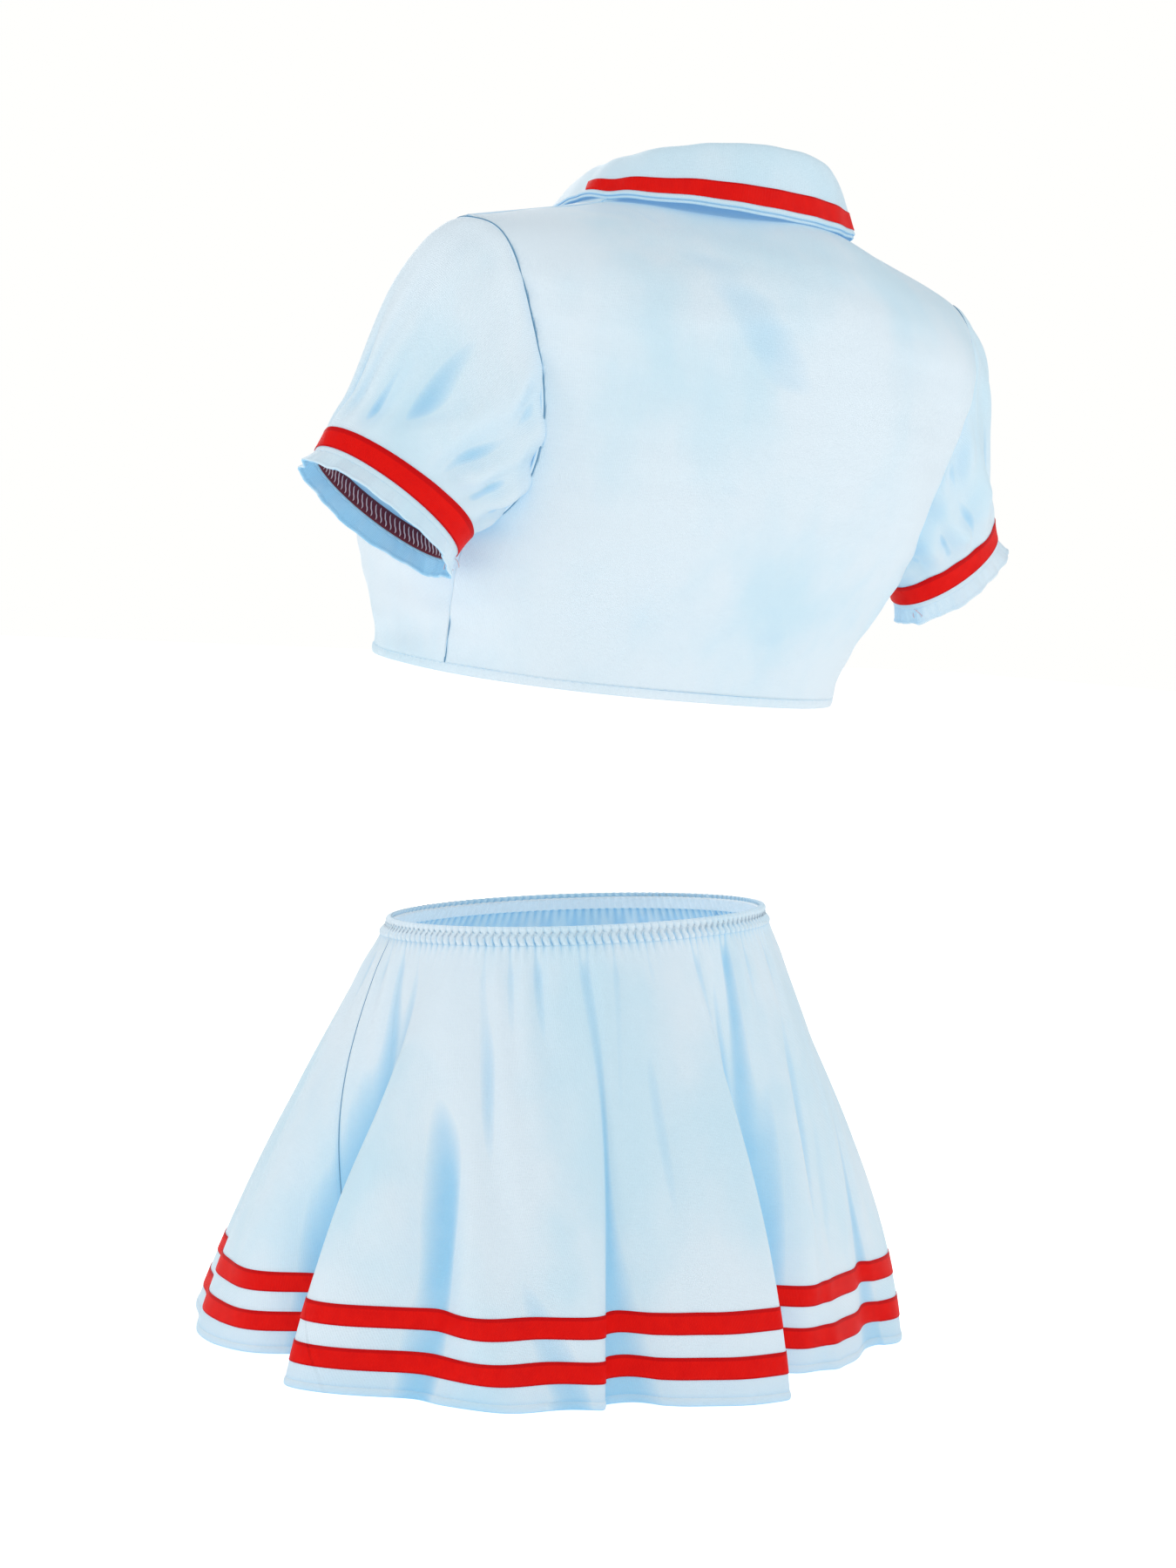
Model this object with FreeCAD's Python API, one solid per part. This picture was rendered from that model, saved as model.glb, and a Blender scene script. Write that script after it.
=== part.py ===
import FreeCAD, Part
import math
import os

# Cheer uniform: a cropped top with a turned-down collar and short puff sleeves, held above a
# flared pull-on skirt at the height a wearer of the set would give them.
# Millimetres. +Z up, +X to the wearer's left, the front faces -Y. The origin is the middle of
# the skirt's hem, on the plane that the hem rests on.

Vector = FreeCAD.Vector

# Cloth: every layer is a sheet that lies a little inside or outside its garment's surface.
CLOTH = 1.0             # thickness of the knit
RIBBON = 0.5            # thickness of the satin ribbon
LAYER_GAP = 0.4         # air between one layer and the next
EDGE_GAP = 0.3          # air between neighbours in the same layer
ROLLED_HEM = 2.0        # thickness of a rolled hem
SEAM_WIDTH = 6.0        # width of a seam allowance
SEAM_OFFSET = 0.5       # from a side seam to the near edge of its allowance
LABEL = 0.4             # thickness of a label

# Skirt
SKIRT_HEIGHT = 256.0
WAIST_HALF_WIDTH = 121.0
WAIST_HALF_DEPTH = 94.0
HEM_HALF_WIDTH = 220.0
HEM_HALF_DEPTH = 196.0
HEM_SHIFT_Y = -10.0     # the hem's middle lies in front of the waist's middle
WAIST_SLOPE_X = -0.05   # the waist line falls towards the wearer's left
WAIST_SLOPE_Y = 0.05    # and towards the front
HIP_ROUNDING = 0.35     # share of the flare that opens early, over the hips
FLUTE_SPREAD = math.radians(11.4)   # from the middle of a flute to either peak
FLUTE_GROWTH = 1.4      # above 1 the flutes open late, towards the hem
# Each flute: degrees from the wearer's left towards the back, and depth at the hem.
FLUTES = ((-45, 6), (15, -15), (38, -6), (66, 8), (98, 14), (130, -5), (166, 7),
          (205, -12), (236, 10), (262, -9), (290, 12))
SKIRT_SEAM_LEFT = -12.0  # at the waist, in degrees like the flutes
SKIRT_SEAM_RIGHT = 192.0
SEAM_SLANT = math.radians(27.0)     # how far a side seam has run towards the back at the hem
SKIRT_COLUMNS = 101     # grid points round half the skirt
SKIRT_ROW = 12.0        # height between grid points
SKIRT_HEM = 4.0
CASING_HEIGHT = 10.0
ELASTIC_HEIGHT = 7.0
STRIPE_WIDTH = 11.5
LOWER_STRIPE = 14.0     # height of the lower stripe's bottom edge over the hem
STRIPE_PITCH = 23.5     # from one stripe to the next
CARE_LABEL = (20.0, 34.0)       # width and length
CARE_LABEL_PLACE = 16.0         # degrees from the left seam towards the back

# Top, in its own frame: origin at the middle of its hem, +Z along the wearer's spine.
TOP_ORIGIN = Vector(0.0, 13.0, 398.0)
LEAN_BACK = math.radians(5.0)
LEAN_RIGHT = math.radians(2.0)
SHOULDER_TIP = (181.0, 252.0)   # x and z of the shoulder point
SHOULDER_SLOPE = 0.227
SPINE_ROUNDING = 20.0           # half width over which the shoulder line rounds over the spine
SHOULDER_ROLL = 66.0            # height over which back and front round over to the shoulder seam
ROLL_START = 0.62               # fraction of the panel below that rounding
SECTION_POWER = 2.4             # 2 is an ellipse, more is boxier
# Body sizes against height over the hem, joined smoothly.
HALF_WIDTH = ((0, 149), (90, 162), (262, 186))
BACK_DEPTH = ((0, 100), (110, 134), (300, 98))
FRONT_DEPTH = ((0, 97), (80, 148), (180, 106), (300, 88))
MIDDLE_Y = ((0, 0), (262, 52))
TOP_SEAM = 20.0                 # degrees from the side towards the back
TOP_HEM = 5.0
TOP_END = 0.996                 # the panels stop just short of the shoulder seam
TAPE_WIDTH = 6.0

# Armholes and sleeves, wearer's left; the right side is the mirror image.
ARMHOLE_Y, ARMHOLE_Z = 58.0, 168.0
ARMHOLE_HALF_DEPTH, ARMHOLE_HALF_HEIGHT = 47.0, 82.0
CUFF_MIDDLE = Vector(213.0, 52.0, 88.0)
CUFF_HALF_WIDTH, CUFF_HALF_DEPTH = 48.0, 33.0
CUFF_TILT, CUFF_YAW, CUFF_NOD = 31.0, -21.0, 19.0
SLEEVE_START_PULL = 65.0
SLEEVE_END_PULL = 78.0
SLEEVE_SHORTEST = 0.35          # pull under the arm, where it is 1.35 over the shoulder
SLEEVE_LEAVE = (0.7, 0.25, 0.4)     # outwards, fore and aft, and up as it leaves the armhole
SLEEVE_DROOP = 0.1
SLEEVE_PUFF = Vector(12.0, 0.0, -2.0)    # extra fullness of the sleeve head
SLEEVE_STRIPE = (3.0, 12.5)     # from the cuff line
OVERLOCK_BAND = (1.0, 9.0)
FRILL = (0.5, 9.5)
FRILL_FLARE = 2.5
FRILL_WAVES = 9
FRILL_WAVE = 1.4
ARMHOLE_SEAM = (1.0, 4.0)       # how far the seam allowance stands into the armhole
SLEEVE_CLEAR = 3.0              # from the armhole line to the start of the sleeve's cloth

# Neck and collar
NECK_HALF_WIDTH = 60.0
NECK_BACK_DEPTH = 60.0
NECK_V_DROP = 93.0
NECK_V_LEAN = math.radians(122.0)   # the bottom of the V, as a lean like the collar's points
NECK_FORWARD = 22.0     # from the shoulder line to the middle of the neck
COLLAR_LAYER = 0.5
COLLAR_FOLD_BACK = (66.0, 317.0)    # distance behind the neck's middle, height
COLLAR_FOLD_SIDE = (70.0, 297.0)    # half width, height
COLLAR_EDGE_BACK = (83.0, 278.0)
COLLAR_EDGE_SIDE = (93.0, 276.0)
COLLAR_POINT_X = 42.0               # half the distance between the collar's front points
COLLAR_POINT_LEAN = math.radians(140.0)     # how far round and down the chest they reach
COLLAR_STRIPE = (0.82, 0.94)        # where the ribbon lies between the neck seam and the edge
COLLAR_STRIPE_END = 0.49            # how far round the neck the ribbon goes, 0.5 is the shoulder
COLLAR_FOLD = 0.45                  # fraction of the collar's width between neck seam and fold
COLLAR_ROLL = 24.0                  # how softly the collar turns over
COLLAR_PULL = 0.9                   # how straight it runs up to the fold and down from it
COLLAR_FRONT_FOLD = (3.0, -8.0, 5.0)    # from the neck seam to the fold at the front
COLLAR_CLEAR = 7.0                  # between the chest and the collar's front points
COLLAR_SPAN = (0.04, 1.0)
COLLAR_END = 0.97
COLLAR_GRID = (80, 24)              # grid steps round and across
NECK_TAPE = (3.0, 8.0)              # distance from the neck seam, and width
NECK_TAPE_END = 0.4
SIZE_LABEL = (22.0, 30.0)           # width and length
SIZE_LABEL_PLACE = 0.68             # how far up the back panel it starts

TURN = 2 * math.pi
QUARTER = math.pi / 2
OVERRUN = 2             # extra rows that keep a sheet true right up to its edges
ROUNDS = 8              # corrections after which a height found step by step is true


def between(height, table):
    """Value at a height, eased between the entries of a (height, value) table."""
    if height <= table[0][0]:
        return table[0][1]
    for (low, start), (high, end) in zip(table, table[1:]):
        if height <= high:
            step = (height - low) / (high - low)
            return start + (end - start) * step * step * (3 - 2 * step)
    return table[-1][1]


def mix(start, end, step):
    return start + (end - start) * step


def ease_in(step):
    """Slow start that keeps half the steady speed, full reach at 1."""
    return (step + step * step) / 2


def hermite(start, pull_start, end, pull_end, step):
    """Point on a cubic that leaves start along pull_start and arrives at end along pull_end."""
    square, cube = step * step, step * step * step
    return (start * (2 * cube - 3 * square + 1) + pull_start * (cube - 2 * square + step)
            + end * (3 * square - 2 * cube) + pull_end * (cube - square))


# ---------------------------------------------------------------- sheets

def offset_point(surface, u, v, distance):
    """The surface's point at (u, v), moved outwards along its normal."""
    step = 1e-3
    along_u = surface(u + step, v) - surface(u - step, v)
    along_v = surface(u, v + step) - surface(u, v - step)
    return surface(u, v) + along_u.cross(along_v).normalize() * distance


def spread(span, count):
    """Evenly spaced values over a span, with OVERRUN more steps beyond each end."""
    return [mix(span[0], span[1], i / (count - 1)) for i in range(-OVERRUN, count + OVERRUN)]


def make_skin(surface, u_values, v_values, distance):
    """Smooth surface through the offset points, cut back to the span without the overrun."""
    skin = Part.BSplineSurface()
    skin.interpolate([[offset_point(surface, u, v, distance) for v in v_values] for u in u_values])
    u_knots, v_knots = skin.getUKnots(), skin.getVKnots()
    skin.segment(u_knots[OVERRUN], u_knots[-1 - OVERRUN], v_knots[OVERRUN], v_knots[-1 - OVERRUN])
    return skin


def sheet(surface, u_span, v_span, near, far, u_count, v_count):
    """Closed solid between two offsets of surface(u, v)."""
    u_values, v_values = spread(u_span, u_count), spread(v_span, v_count)
    skins = [make_skin(surface, u_values, v_values, distance) for distance in (near, far)]
    faces = [skin.toShape() for skin in skins]
    bounds = [skin.bounds() for skin in skins]
    for side in (0, 1):
        edges = [skin.uIso(bound[side]).toShape() for skin, bound in zip(skins, bounds)]
        faces.append(Part.makeRuledSurface(*edges, 1))
    for side in (2, 3):
        edges = [skin.vIso(bound[side]).toShape() for skin, bound in zip(skins, bounds)]
        faces.append(Part.makeRuledSurface(*edges, 1))
    shell = Part.makeShell(faces)
    shell.sewShape()
    solid = Part.makeSolid(shell)
    if solid.Volume < 0:
        solid.reverse()
    return solid


def largest(shape):
    """The main solid of a cut, without slivers."""
    return max(shape.Solids, key=lambda solid: solid.Volume)


# ---------------------------------------------------------------- skirt

def angle_from(turn, degrees):
    """Signed angle from a direction given in degrees, within half a turn."""
    return (turn - math.radians(degrees) + math.pi) % TURN - math.pi


def flute_depth(turn):
    """Radial push of all flutes at an angle: each one steps in on one side and out on the other."""
    push = 0.0
    for degrees, depth in FLUTES:
        x = angle_from(turn, degrees) / FLUTE_SPREAD
        push -= depth * x * math.exp((1 - x * x) / 2)
    return push


def skirt_point(turn, drop):
    """Skirt surface: turn from the wearer's left towards the back, drop 0 waist to 1 hem."""
    turn += SEAM_SLANT * drop * math.cos(turn)
    flare = mix(drop, math.sin(drop * QUARTER), HIP_ROUNDING)
    half_width = mix(WAIST_HALF_WIDTH, HEM_HALF_WIDTH, flare)
    half_depth = mix(WAIST_HALF_DEPTH, HEM_HALF_DEPTH, flare)
    outward = Vector(math.cos(turn) / half_width, math.sin(turn) / half_depth, 0).normalize()
    push = flute_depth(turn) * max(drop, 0.0) ** FLUTE_GROWTH
    x = half_width * math.cos(turn) + outward.x * push
    y = half_depth * math.sin(turn) + outward.y * push + HEM_SHIFT_Y * drop
    waist = SKIRT_HEIGHT + WAIST_SLOPE_X * x + WAIST_SLOPE_Y * y
    return Vector(x, y, waist * (1 - drop))


def skirt_surface(turn, height):
    """Skirt surface by height over the hem."""
    return skirt_point(turn, 1 - height / SKIRT_HEIGHT)


def skirt_band(low, high, half, near, far):
    """Strip of the skirt between two heights over the hem."""
    rows = max(4, int((high - low) / SKIRT_ROW))
    return sheet(skirt_surface, half, (low, high), near, far, SKIRT_COLUMNS, rows)


def skirt_halves():
    """Angle spans of the back and the front half, clear of each other at the side seams."""
    gap = EDGE_GAP / WAIST_HALF_WIDTH
    left, right = math.radians(SKIRT_SEAM_LEFT), math.radians(SKIRT_SEAM_RIGHT)
    return {"back": (left + gap, right - gap), "front": (right + gap, left + TURN - gap)}


def make_hem(half):
    """Rolled hem, cut flat where it rests."""
    reach = 2 * HEM_HALF_WIDTH
    floor = Part.makeBox(2 * reach, 2 * reach, reach, Vector(-reach, -reach, -reach))
    band = skirt_band(-ROLLED_HEM, SKIRT_HEM, half, -ROLLED_HEM / 2, ROLLED_HEM / 2)
    return largest(band.cut(floor))


def make_skirt():
    nodes = {}
    top = SKIRT_HEIGHT - CASING_HEIGHT
    skin = CLOTH / 2
    ribbon = skin + LAYER_GAP
    elastic = top + (CASING_HEIGHT - ELASTIC_HEIGHT) / 2
    for name, half in skirt_halves().items():
        nodes["skirt_panel_" + name] = skirt_band(SKIRT_HEM + EDGE_GAP, top - EDGE_GAP, half, -skin, skin)
        nodes["skirt_hem_" + name] = make_hem(half)
        nodes["waist_casing_" + name] = skirt_band(top, SKIRT_HEIGHT, half, skin, skin + CLOTH)
        nodes["waist_elastic_" + name] = skirt_band(
            elastic, elastic + ELASTIC_HEIGHT, half, skin - LAYER_GAP - CLOTH, skin - LAYER_GAP)
        for place, lift in (("lower", 0), ("upper", STRIPE_PITCH)):
            low = LOWER_STRIPE + lift
            nodes["%s_stripe_%s" % (place, name)] = skirt_band(
                low, low + STRIPE_WIDTH, half, ribbon, ribbon + RIBBON)
    nodes["skirt_seam_left"] = skirt_seam(SKIRT_SEAM_LEFT, SEAM_OFFSET, SEAM_WIDTH)
    nodes["skirt_seam_right"] = skirt_seam(SKIRT_SEAM_RIGHT, -SEAM_WIDTH, -SEAM_OFFSET)
    nodes["care_label"] = make_care_label()
    return nodes


def skirt_seam(degrees, low, high):
    """Seam allowance inside a side seam, from low to high millimetres past the seam."""
    edge = math.radians(degrees)

    def allowance(across, height):
        reach = mix(HEM_HALF_WIDTH, WAIST_HALF_WIDTH, height / SKIRT_HEIGHT)
        return skirt_surface(edge + across / reach, height)

    inside = -CLOTH / 2 - LAYER_GAP
    heights = (SKIRT_HEM + 2, SKIRT_HEIGHT - CASING_HEIGHT - 2)
    return sheet(allowance, (low, high), heights, inside - CLOTH, inside, 6, 21)


def make_care_label():
    """Blank care label hanging inside the back of the waist, near the left seam."""
    turn = math.radians(SKIRT_SEAM_LEFT + CARE_LABEL_PLACE)
    width, length = CARE_LABEL
    top = SKIRT_HEIGHT - CASING_HEIGHT - 3

    def label(across, height):
        return skirt_surface(turn + across / WAIST_HALF_WIDTH, height)

    inside = -1.5 * CLOTH - 2 * LAYER_GAP
    return sheet(label, (0, width), (top - length, top), inside - LABEL, inside, 4, 5)


# ---------------------------------------------------------------- body of the top

def shoulder_height(x):
    """Height of the shoulder seam over a point across the body, rounded over the spine."""
    return SHOULDER_TIP[1] + SHOULDER_SLOPE * (SHOULDER_TIP[0] - math.hypot(x, SPINE_ROUNDING))


def body_depth(height, sine):
    return between(height, BACK_DEPTH if sine > 0 else FRONT_DEPTH)


def body_point(turn, height, narrowing=1.0):
    """Point of the body's rounded-box section at a height."""
    cosine, sine = math.cos(turn), math.sin(turn)
    reach = (abs(cosine) ** SECTION_POWER + abs(sine) ** SECTION_POWER) ** (-1 / SECTION_POWER)
    x = between(height, HALF_WIDTH) * reach * cosine
    y = between(height, MIDDLE_Y) + body_depth(height, sine) * reach * sine * narrowing
    return Vector(x, y, height)


def panel_surface(turn, rise):
    """Body surface: rise 0 at the hem, 1 at the shoulder seam, where the panels round over."""
    height = SHOULDER_TIP[1] * rise
    for _ in range(ROUNDS):
        seam = shoulder_height(body_point(turn, height).x)
        if rise < ROLL_START:
            lean = 0.0
            height = (seam - SHOULDER_ROLL) * rise / ROLL_START
        else:
            lean = (rise - ROLL_START) / (1 - ROLL_START) * QUARTER
            height = seam - SHOULDER_ROLL * (1 - math.sin(lean))
    return body_point(turn, height, math.cos(lean))


def body_surface(turn, height):
    """Body surface by height, for the part below the shoulder rounding."""
    return body_point(turn, height)


def rounding(x, height):
    """How far the panels have rounded in towards the shoulder seam: 1 below it, 0 at the seam."""
    below = min(max(shoulder_height(x) - height, 0.0), SHOULDER_ROLL)
    return math.sqrt(max(1 - (1 - below / SHOULDER_ROLL) ** 2, 0.0))


def body_top(x, y):
    """The body's upper surface over a plan point near the shoulders."""
    height = shoulder_height(x)
    for _ in range(ROUNDS):
        offset = y - between(height, MIDDLE_Y)
        across = min(abs(x) / between(height, HALF_WIDTH), 0.99)
        depth = body_depth(height, offset) * (1 - across ** SECTION_POWER) ** (1 / SECTION_POWER)
        lean = min(abs(offset) / depth, 0.999)
        height = shoulder_height(x) - SHOULDER_ROLL * (1 - math.sqrt(1 - lean * lean))
    return Vector(x, y, height)


def body_front(x, lean, clear=0.0):
    """The front surface, or a distance clear of it, by how far it has leaned over since the shoulder.

    lean is 0 on the shoulder line and a quarter turn where the chest starts to run straight down."""
    over = min(lean, QUARTER)
    height = shoulder_height(x) - SHOULDER_ROLL * (1 - math.cos(over) + lean - over)
    across = min(abs(x) / between(height, HALF_WIDTH), 1)
    depth = body_depth(height, -1) * (1 - across ** SECTION_POWER) ** (1 / SECTION_POWER)
    lift = Vector(0, -math.sin(over), math.cos(over)) * clear
    return Vector(x, between(height, MIDDLE_Y) - depth * math.sin(over), height) + lift


def lean_at(point):
    """How far the front surface has leaned over at a point on it or just above it."""
    x, height = point.x, point.z
    across = min(abs(x) / between(height, HALF_WIDTH), 1)
    depth = body_depth(height, -1) * (1 - across ** SECTION_POWER) ** (1 / SECTION_POWER)
    return math.asin((between(height, MIDDLE_Y) - point.y) / depth)


def body_side(y, height):
    """The left side's surface at a place along and up the body, found by stepping inwards."""
    x = between(height, HALF_WIDTH)
    step = 0.35
    for _ in range(4 * ROUNDS):
        offset = y - between(height, MIDDLE_Y)
        depth = body_depth(height, offset) * max(rounding(x, height), 0.02)
        lean = min(abs(offset) / depth, 0.999)
        target = between(height, HALF_WIDTH) * (1 - lean ** SECTION_POWER) ** (1 / SECTION_POWER)
        x = mix(x, target, step)
    return Vector(x, y, height)


def armhole_point(turn):
    """Armhole line: turn 0 at the shoulder, a quarter at the back, half under the arm."""
    return body_side(ARMHOLE_Y + ARMHOLE_HALF_DEPTH * math.sin(turn),
                     ARMHOLE_Z + ARMHOLE_HALF_HEIGHT * math.cos(turn))


def armhole_cutter():
    """Oval bar through the left armhole, with the corner beyond the shoulder point."""
    middle = Vector(HALF_WIDTH[0][1] / 2, ARMHOLE_Y, ARMHOLE_Z)
    oval = Part.Ellipse(middle + Vector(0, 0, ARMHOLE_HALF_HEIGHT),
                        middle + Vector(0, ARMHOLE_HALF_DEPTH, 0), middle)
    bar = Part.Face(Part.Wire(oval.toShape())).extrude(Vector(150, 0, 0))
    tip = armhole_point(0)
    low = ARMHOLE_Z + 0.67 * ARMHOLE_HALF_HEIGHT
    corner = Part.makeBox(80, 200, 60, Vector(tip.x, ARMHOLE_Y - 100, low))
    return bar.fuse(corner)


def shoulder_line_y():
    return between(SHOULDER_TIP[1], MIDDLE_Y)


def neck_middle():
    return shoulder_line_y() - NECK_FORWARD


def neck_side():
    """The point on the left shoulder where the back scoop of the neck meets the front V."""
    return body_top(NECK_HALF_WIDTH, neck_middle())


def neck_cutter():
    """Half-oval scoop at the back of the neck and a V at the front."""
    side_height = neck_side().z
    middle = Vector(0, neck_middle(), side_height - 60)
    oval = Part.Ellipse(middle + Vector(NECK_HALF_WIDTH, 0, 0), middle + Vector(0, NECK_BACK_DEPTH, 0),
                        middle)
    scoop = Part.Face(Part.Wire(oval.toShape())).extrude(Vector(0, 0, 150))
    back_half = Part.makeBox(300, 200, 300, Vector(-150, middle.y, side_height - 150))
    corners = [(0, side_height - NECK_V_DROP), (NECK_HALF_WIDTH, side_height),
               (NECK_HALF_WIDTH, side_height + 80), (-NECK_HALF_WIDTH, side_height + 80),
               (-NECK_HALF_WIDTH, side_height)]
    outline = Part.makePolygon([Vector(x, middle.y, z) for x, z in corners + corners[:1]])
    notch = Part.Face(outline).extrude(Vector(0, -260, 0))
    return scoop.common(back_half).fuse(notch)


def make_body():
    nodes = {}
    skin = CLOTH / 2
    left, right = math.radians(TOP_SEAM), math.radians(180 - TOP_SEAM)
    gap = EDGE_GAP / HALF_WIDTH[0][1]
    halves = {"back": (left + gap, right - gap), "front": (right + gap, left + TURN - gap)}
    arm = armhole_cutter()
    cutters = [arm, arm.mirror(Vector(), Vector(1, 0, 0)), neck_cutter()]
    first_rise = ROLL_START * (TOP_HEM + EDGE_GAP) / (SHOULDER_TIP[1] - SHOULDER_ROLL)
    for name, half in halves.items():
        panel = sheet(panel_surface, half, (first_rise, TOP_END), -skin, skin, 61, 41)
        nodes["top_panel_" + name] = largest(panel.cut(cutters))
        nodes["top_hem_" + name] = sheet(
            body_surface, half, (0, TOP_HEM), -ROLLED_HEM / 2, ROLLED_HEM / 2, 61, 4)
    nodes["top_seam_left"] = body_seam(left)
    nodes["shoulder_tape_left"] = shoulder_tape()
    nodes["armhole_seam_left"] = sheet(
        armhole_seam_surface, (0.01, TURN - 0.01), ARMHOLE_SEAM, -CLOTH, CLOTH, 61, 4)
    for name in ("top_seam", "shoulder_tape", "armhole_seam"):
        nodes[name + "_right"] = nodes[name + "_left"].mirror(Vector(), Vector(1, 0, 0))
    return nodes


def armhole_seam_surface(turn, inset):
    """Seam allowance standing into the armhole from its edge."""
    return armhole_point(turn) - Vector(0, inset * math.sin(turn), inset * math.cos(turn))


def body_seam(turn):
    """Seam allowance inside the left side seam, from the hem to the armhole."""

    def allowance(across, height):
        return body_surface(turn + across / HALF_WIDTH[0][1], height)

    inside = -CLOTH / 2 - LAYER_GAP
    top = ARMHOLE_Z - ARMHOLE_HALF_HEIGHT - 8
    span = (-SEAM_WIDTH / 2, SEAM_WIDTH / 2)
    return sheet(allowance, span, (TOP_HEM + 2, top), inside - CLOTH, inside, 4, 15)


def shoulder_tape():
    """Tape under the shoulder seam that keeps it from stretching."""
    inside = -CLOTH / 2 - LAYER_GAP
    middle = shoulder_line_y()
    span = (NECK_HALF_WIDTH + 10, armhole_point(0).x - 8)
    return sheet(body_top, span, (middle - TAPE_WIDTH / 2, middle + TAPE_WIDTH / 2),
                 inside - RIBBON, inside, 15, 4)


# ---------------------------------------------------------------- sleeves

def cuff_axes():
    """Unit vectors of the cuff's oval: outwards, backwards, and out of the opening."""
    tilt, yaw, nod = (math.radians(a) for a in (CUFF_TILT, CUFF_YAW, CUFF_NOD))
    out = Vector(math.cos(tilt) * math.cos(yaw), math.cos(tilt) * math.sin(yaw), math.sin(tilt))
    back = Vector(-math.sin(yaw) * math.cos(nod), math.cos(yaw) * math.cos(nod), math.sin(nod))
    back = (back - out * back.dot(out)).normalize()
    return out, back, back.cross(out)


CUFF_OUT, CUFF_BACK, CUFF_DOWN = cuff_axes()


def cuff_spoke(turn):
    """From the cuff's middle to its line."""
    return CUFF_OUT * (CUFF_HALF_WIDTH * math.cos(turn)) + CUFF_BACK * (CUFF_HALF_DEPTH * math.sin(turn))


def sleeve_pull(turn):
    """The sleeve is long over the shoulder and short under the arm."""
    return SLEEVE_SHORTEST + (1 + math.cos(turn)) / 2


def sleeve_surface(turn, rise):
    """Left sleeve: rise 0 at the cuff line, 1 at the armhole."""
    over = (1 + math.cos(turn)) / 2
    outward, aside, upward = SLEEVE_LEAVE
    leave = Vector(outward, aside * math.sin(turn), upward * over - SLEEVE_DROOP)
    leave = leave * (SLEEVE_START_PULL * sleeve_pull(turn))
    arrive = CUFF_DOWN * (SLEEVE_END_PULL * sleeve_pull(turn))
    puff = SLEEVE_PUFF * (over * over * (1 - rise) * rise * rise * 27 / 4)
    return hermite(armhole_point(turn), leave, CUFF_MIDDLE + cuff_spoke(turn), arrive, 1 - rise) + puff


def sleeve_cloth_surface(turn, rise):
    """The sleeve up to a steady distance from the armhole line."""
    clear = SLEEVE_CLEAR / (SLEEVE_LEAVE[0] * SLEEVE_START_PULL * sleeve_pull(turn))
    return sleeve_surface(turn, rise * (1 - clear))


def sleeve_edge_surface(turn, height):
    """Left sleeve by distance above the cuff line."""
    return sleeve_surface(turn, height / (SLEEVE_END_PULL * sleeve_pull(turn)))


def frill_surface(turn, height):
    """Frill below the cuff line, height negative: it flares and waves towards its edge."""
    fall = -height / FRILL[1]
    spoke = cuff_spoke(turn)
    flare = fall * (FRILL_FLARE + FRILL_WAVE * math.sin(FRILL_WAVES * turn))
    return CUFF_MIDDLE + spoke + spoke.normalize() * flare - CUFF_DOWN * height


def make_sleeve():
    """Pieces of the left sleeve, by name without the side."""
    skin = CLOTH / 2
    around = (-math.pi + 0.02, math.pi - 0.02)
    inside = -skin - LAYER_GAP
    ribbon = skin + LAYER_GAP

    def seam(across, rise):
        return sleeve_surface(math.pi + across / CUFF_HALF_DEPTH, rise)

    return {
        "sleeve": sheet(sleeve_cloth_surface, around, (0.005, 1), -skin, skin, 81, 21),
        "sleeve_stripe": sheet(sleeve_edge_surface, around, SLEEVE_STRIPE, ribbon, ribbon + RIBBON, 81, 5),
        "sleeve_overlock": sheet(sleeve_edge_surface, around, OVERLOCK_BAND, inside - RIBBON, inside, 81, 5),
        "sleeve_frill": sheet(frill_surface, around, (-FRILL[1], -FRILL[0]), -skin, skin, 121, 6),
        "sleeve_seam": sheet(seam, (-2, 2), (0.45, 0.9), inside - CLOTH, inside, 4, 7),
    }


def make_sleeves():
    nodes = {}
    for name, shape in make_sleeve().items():
        nodes[name + "_left"] = shape
        nodes[name + "_right"] = shape.mirror(Vector(), Vector(1, 0, 0))
    return nodes


# ---------------------------------------------------------------- neck and collar

def collar_back_lines(turn):
    """Neck seam, fold and outer edge of the collar's back: turn 0 at the back, a quarter at the side."""
    cosine, sine = math.cos(turn), math.sin(turn)
    middle = neck_middle()
    seam = body_top(NECK_HALF_WIDTH * sine, middle + NECK_BACK_DEPTH * cosine)
    fold = Vector(COLLAR_FOLD_SIDE[0] * sine, middle + COLLAR_FOLD_BACK[0] * cosine,
                  mix(COLLAR_FOLD_SIDE[1], COLLAR_FOLD_BACK[1], cosine))
    edge = Vector(COLLAR_EDGE_SIDE[0] * sine, middle + COLLAR_EDGE_BACK[0] * cosine,
                  mix(COLLAR_EDGE_SIDE[1], COLLAR_EDGE_BACK[1], cosine))
    return seam, fold, edge


def neck_front(lean):
    """Neck seam in front: the V at the height where the chest has leaned over by an angle."""
    side = neck_side()
    x = NECK_HALF_WIDTH
    for _ in range(ROUNDS):
        drop = side.z - body_front(x, lean).z
        x = NECK_HALF_WIDTH * (1 - drop / NECK_V_DROP)
    return body_front(x, lean)


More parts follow.
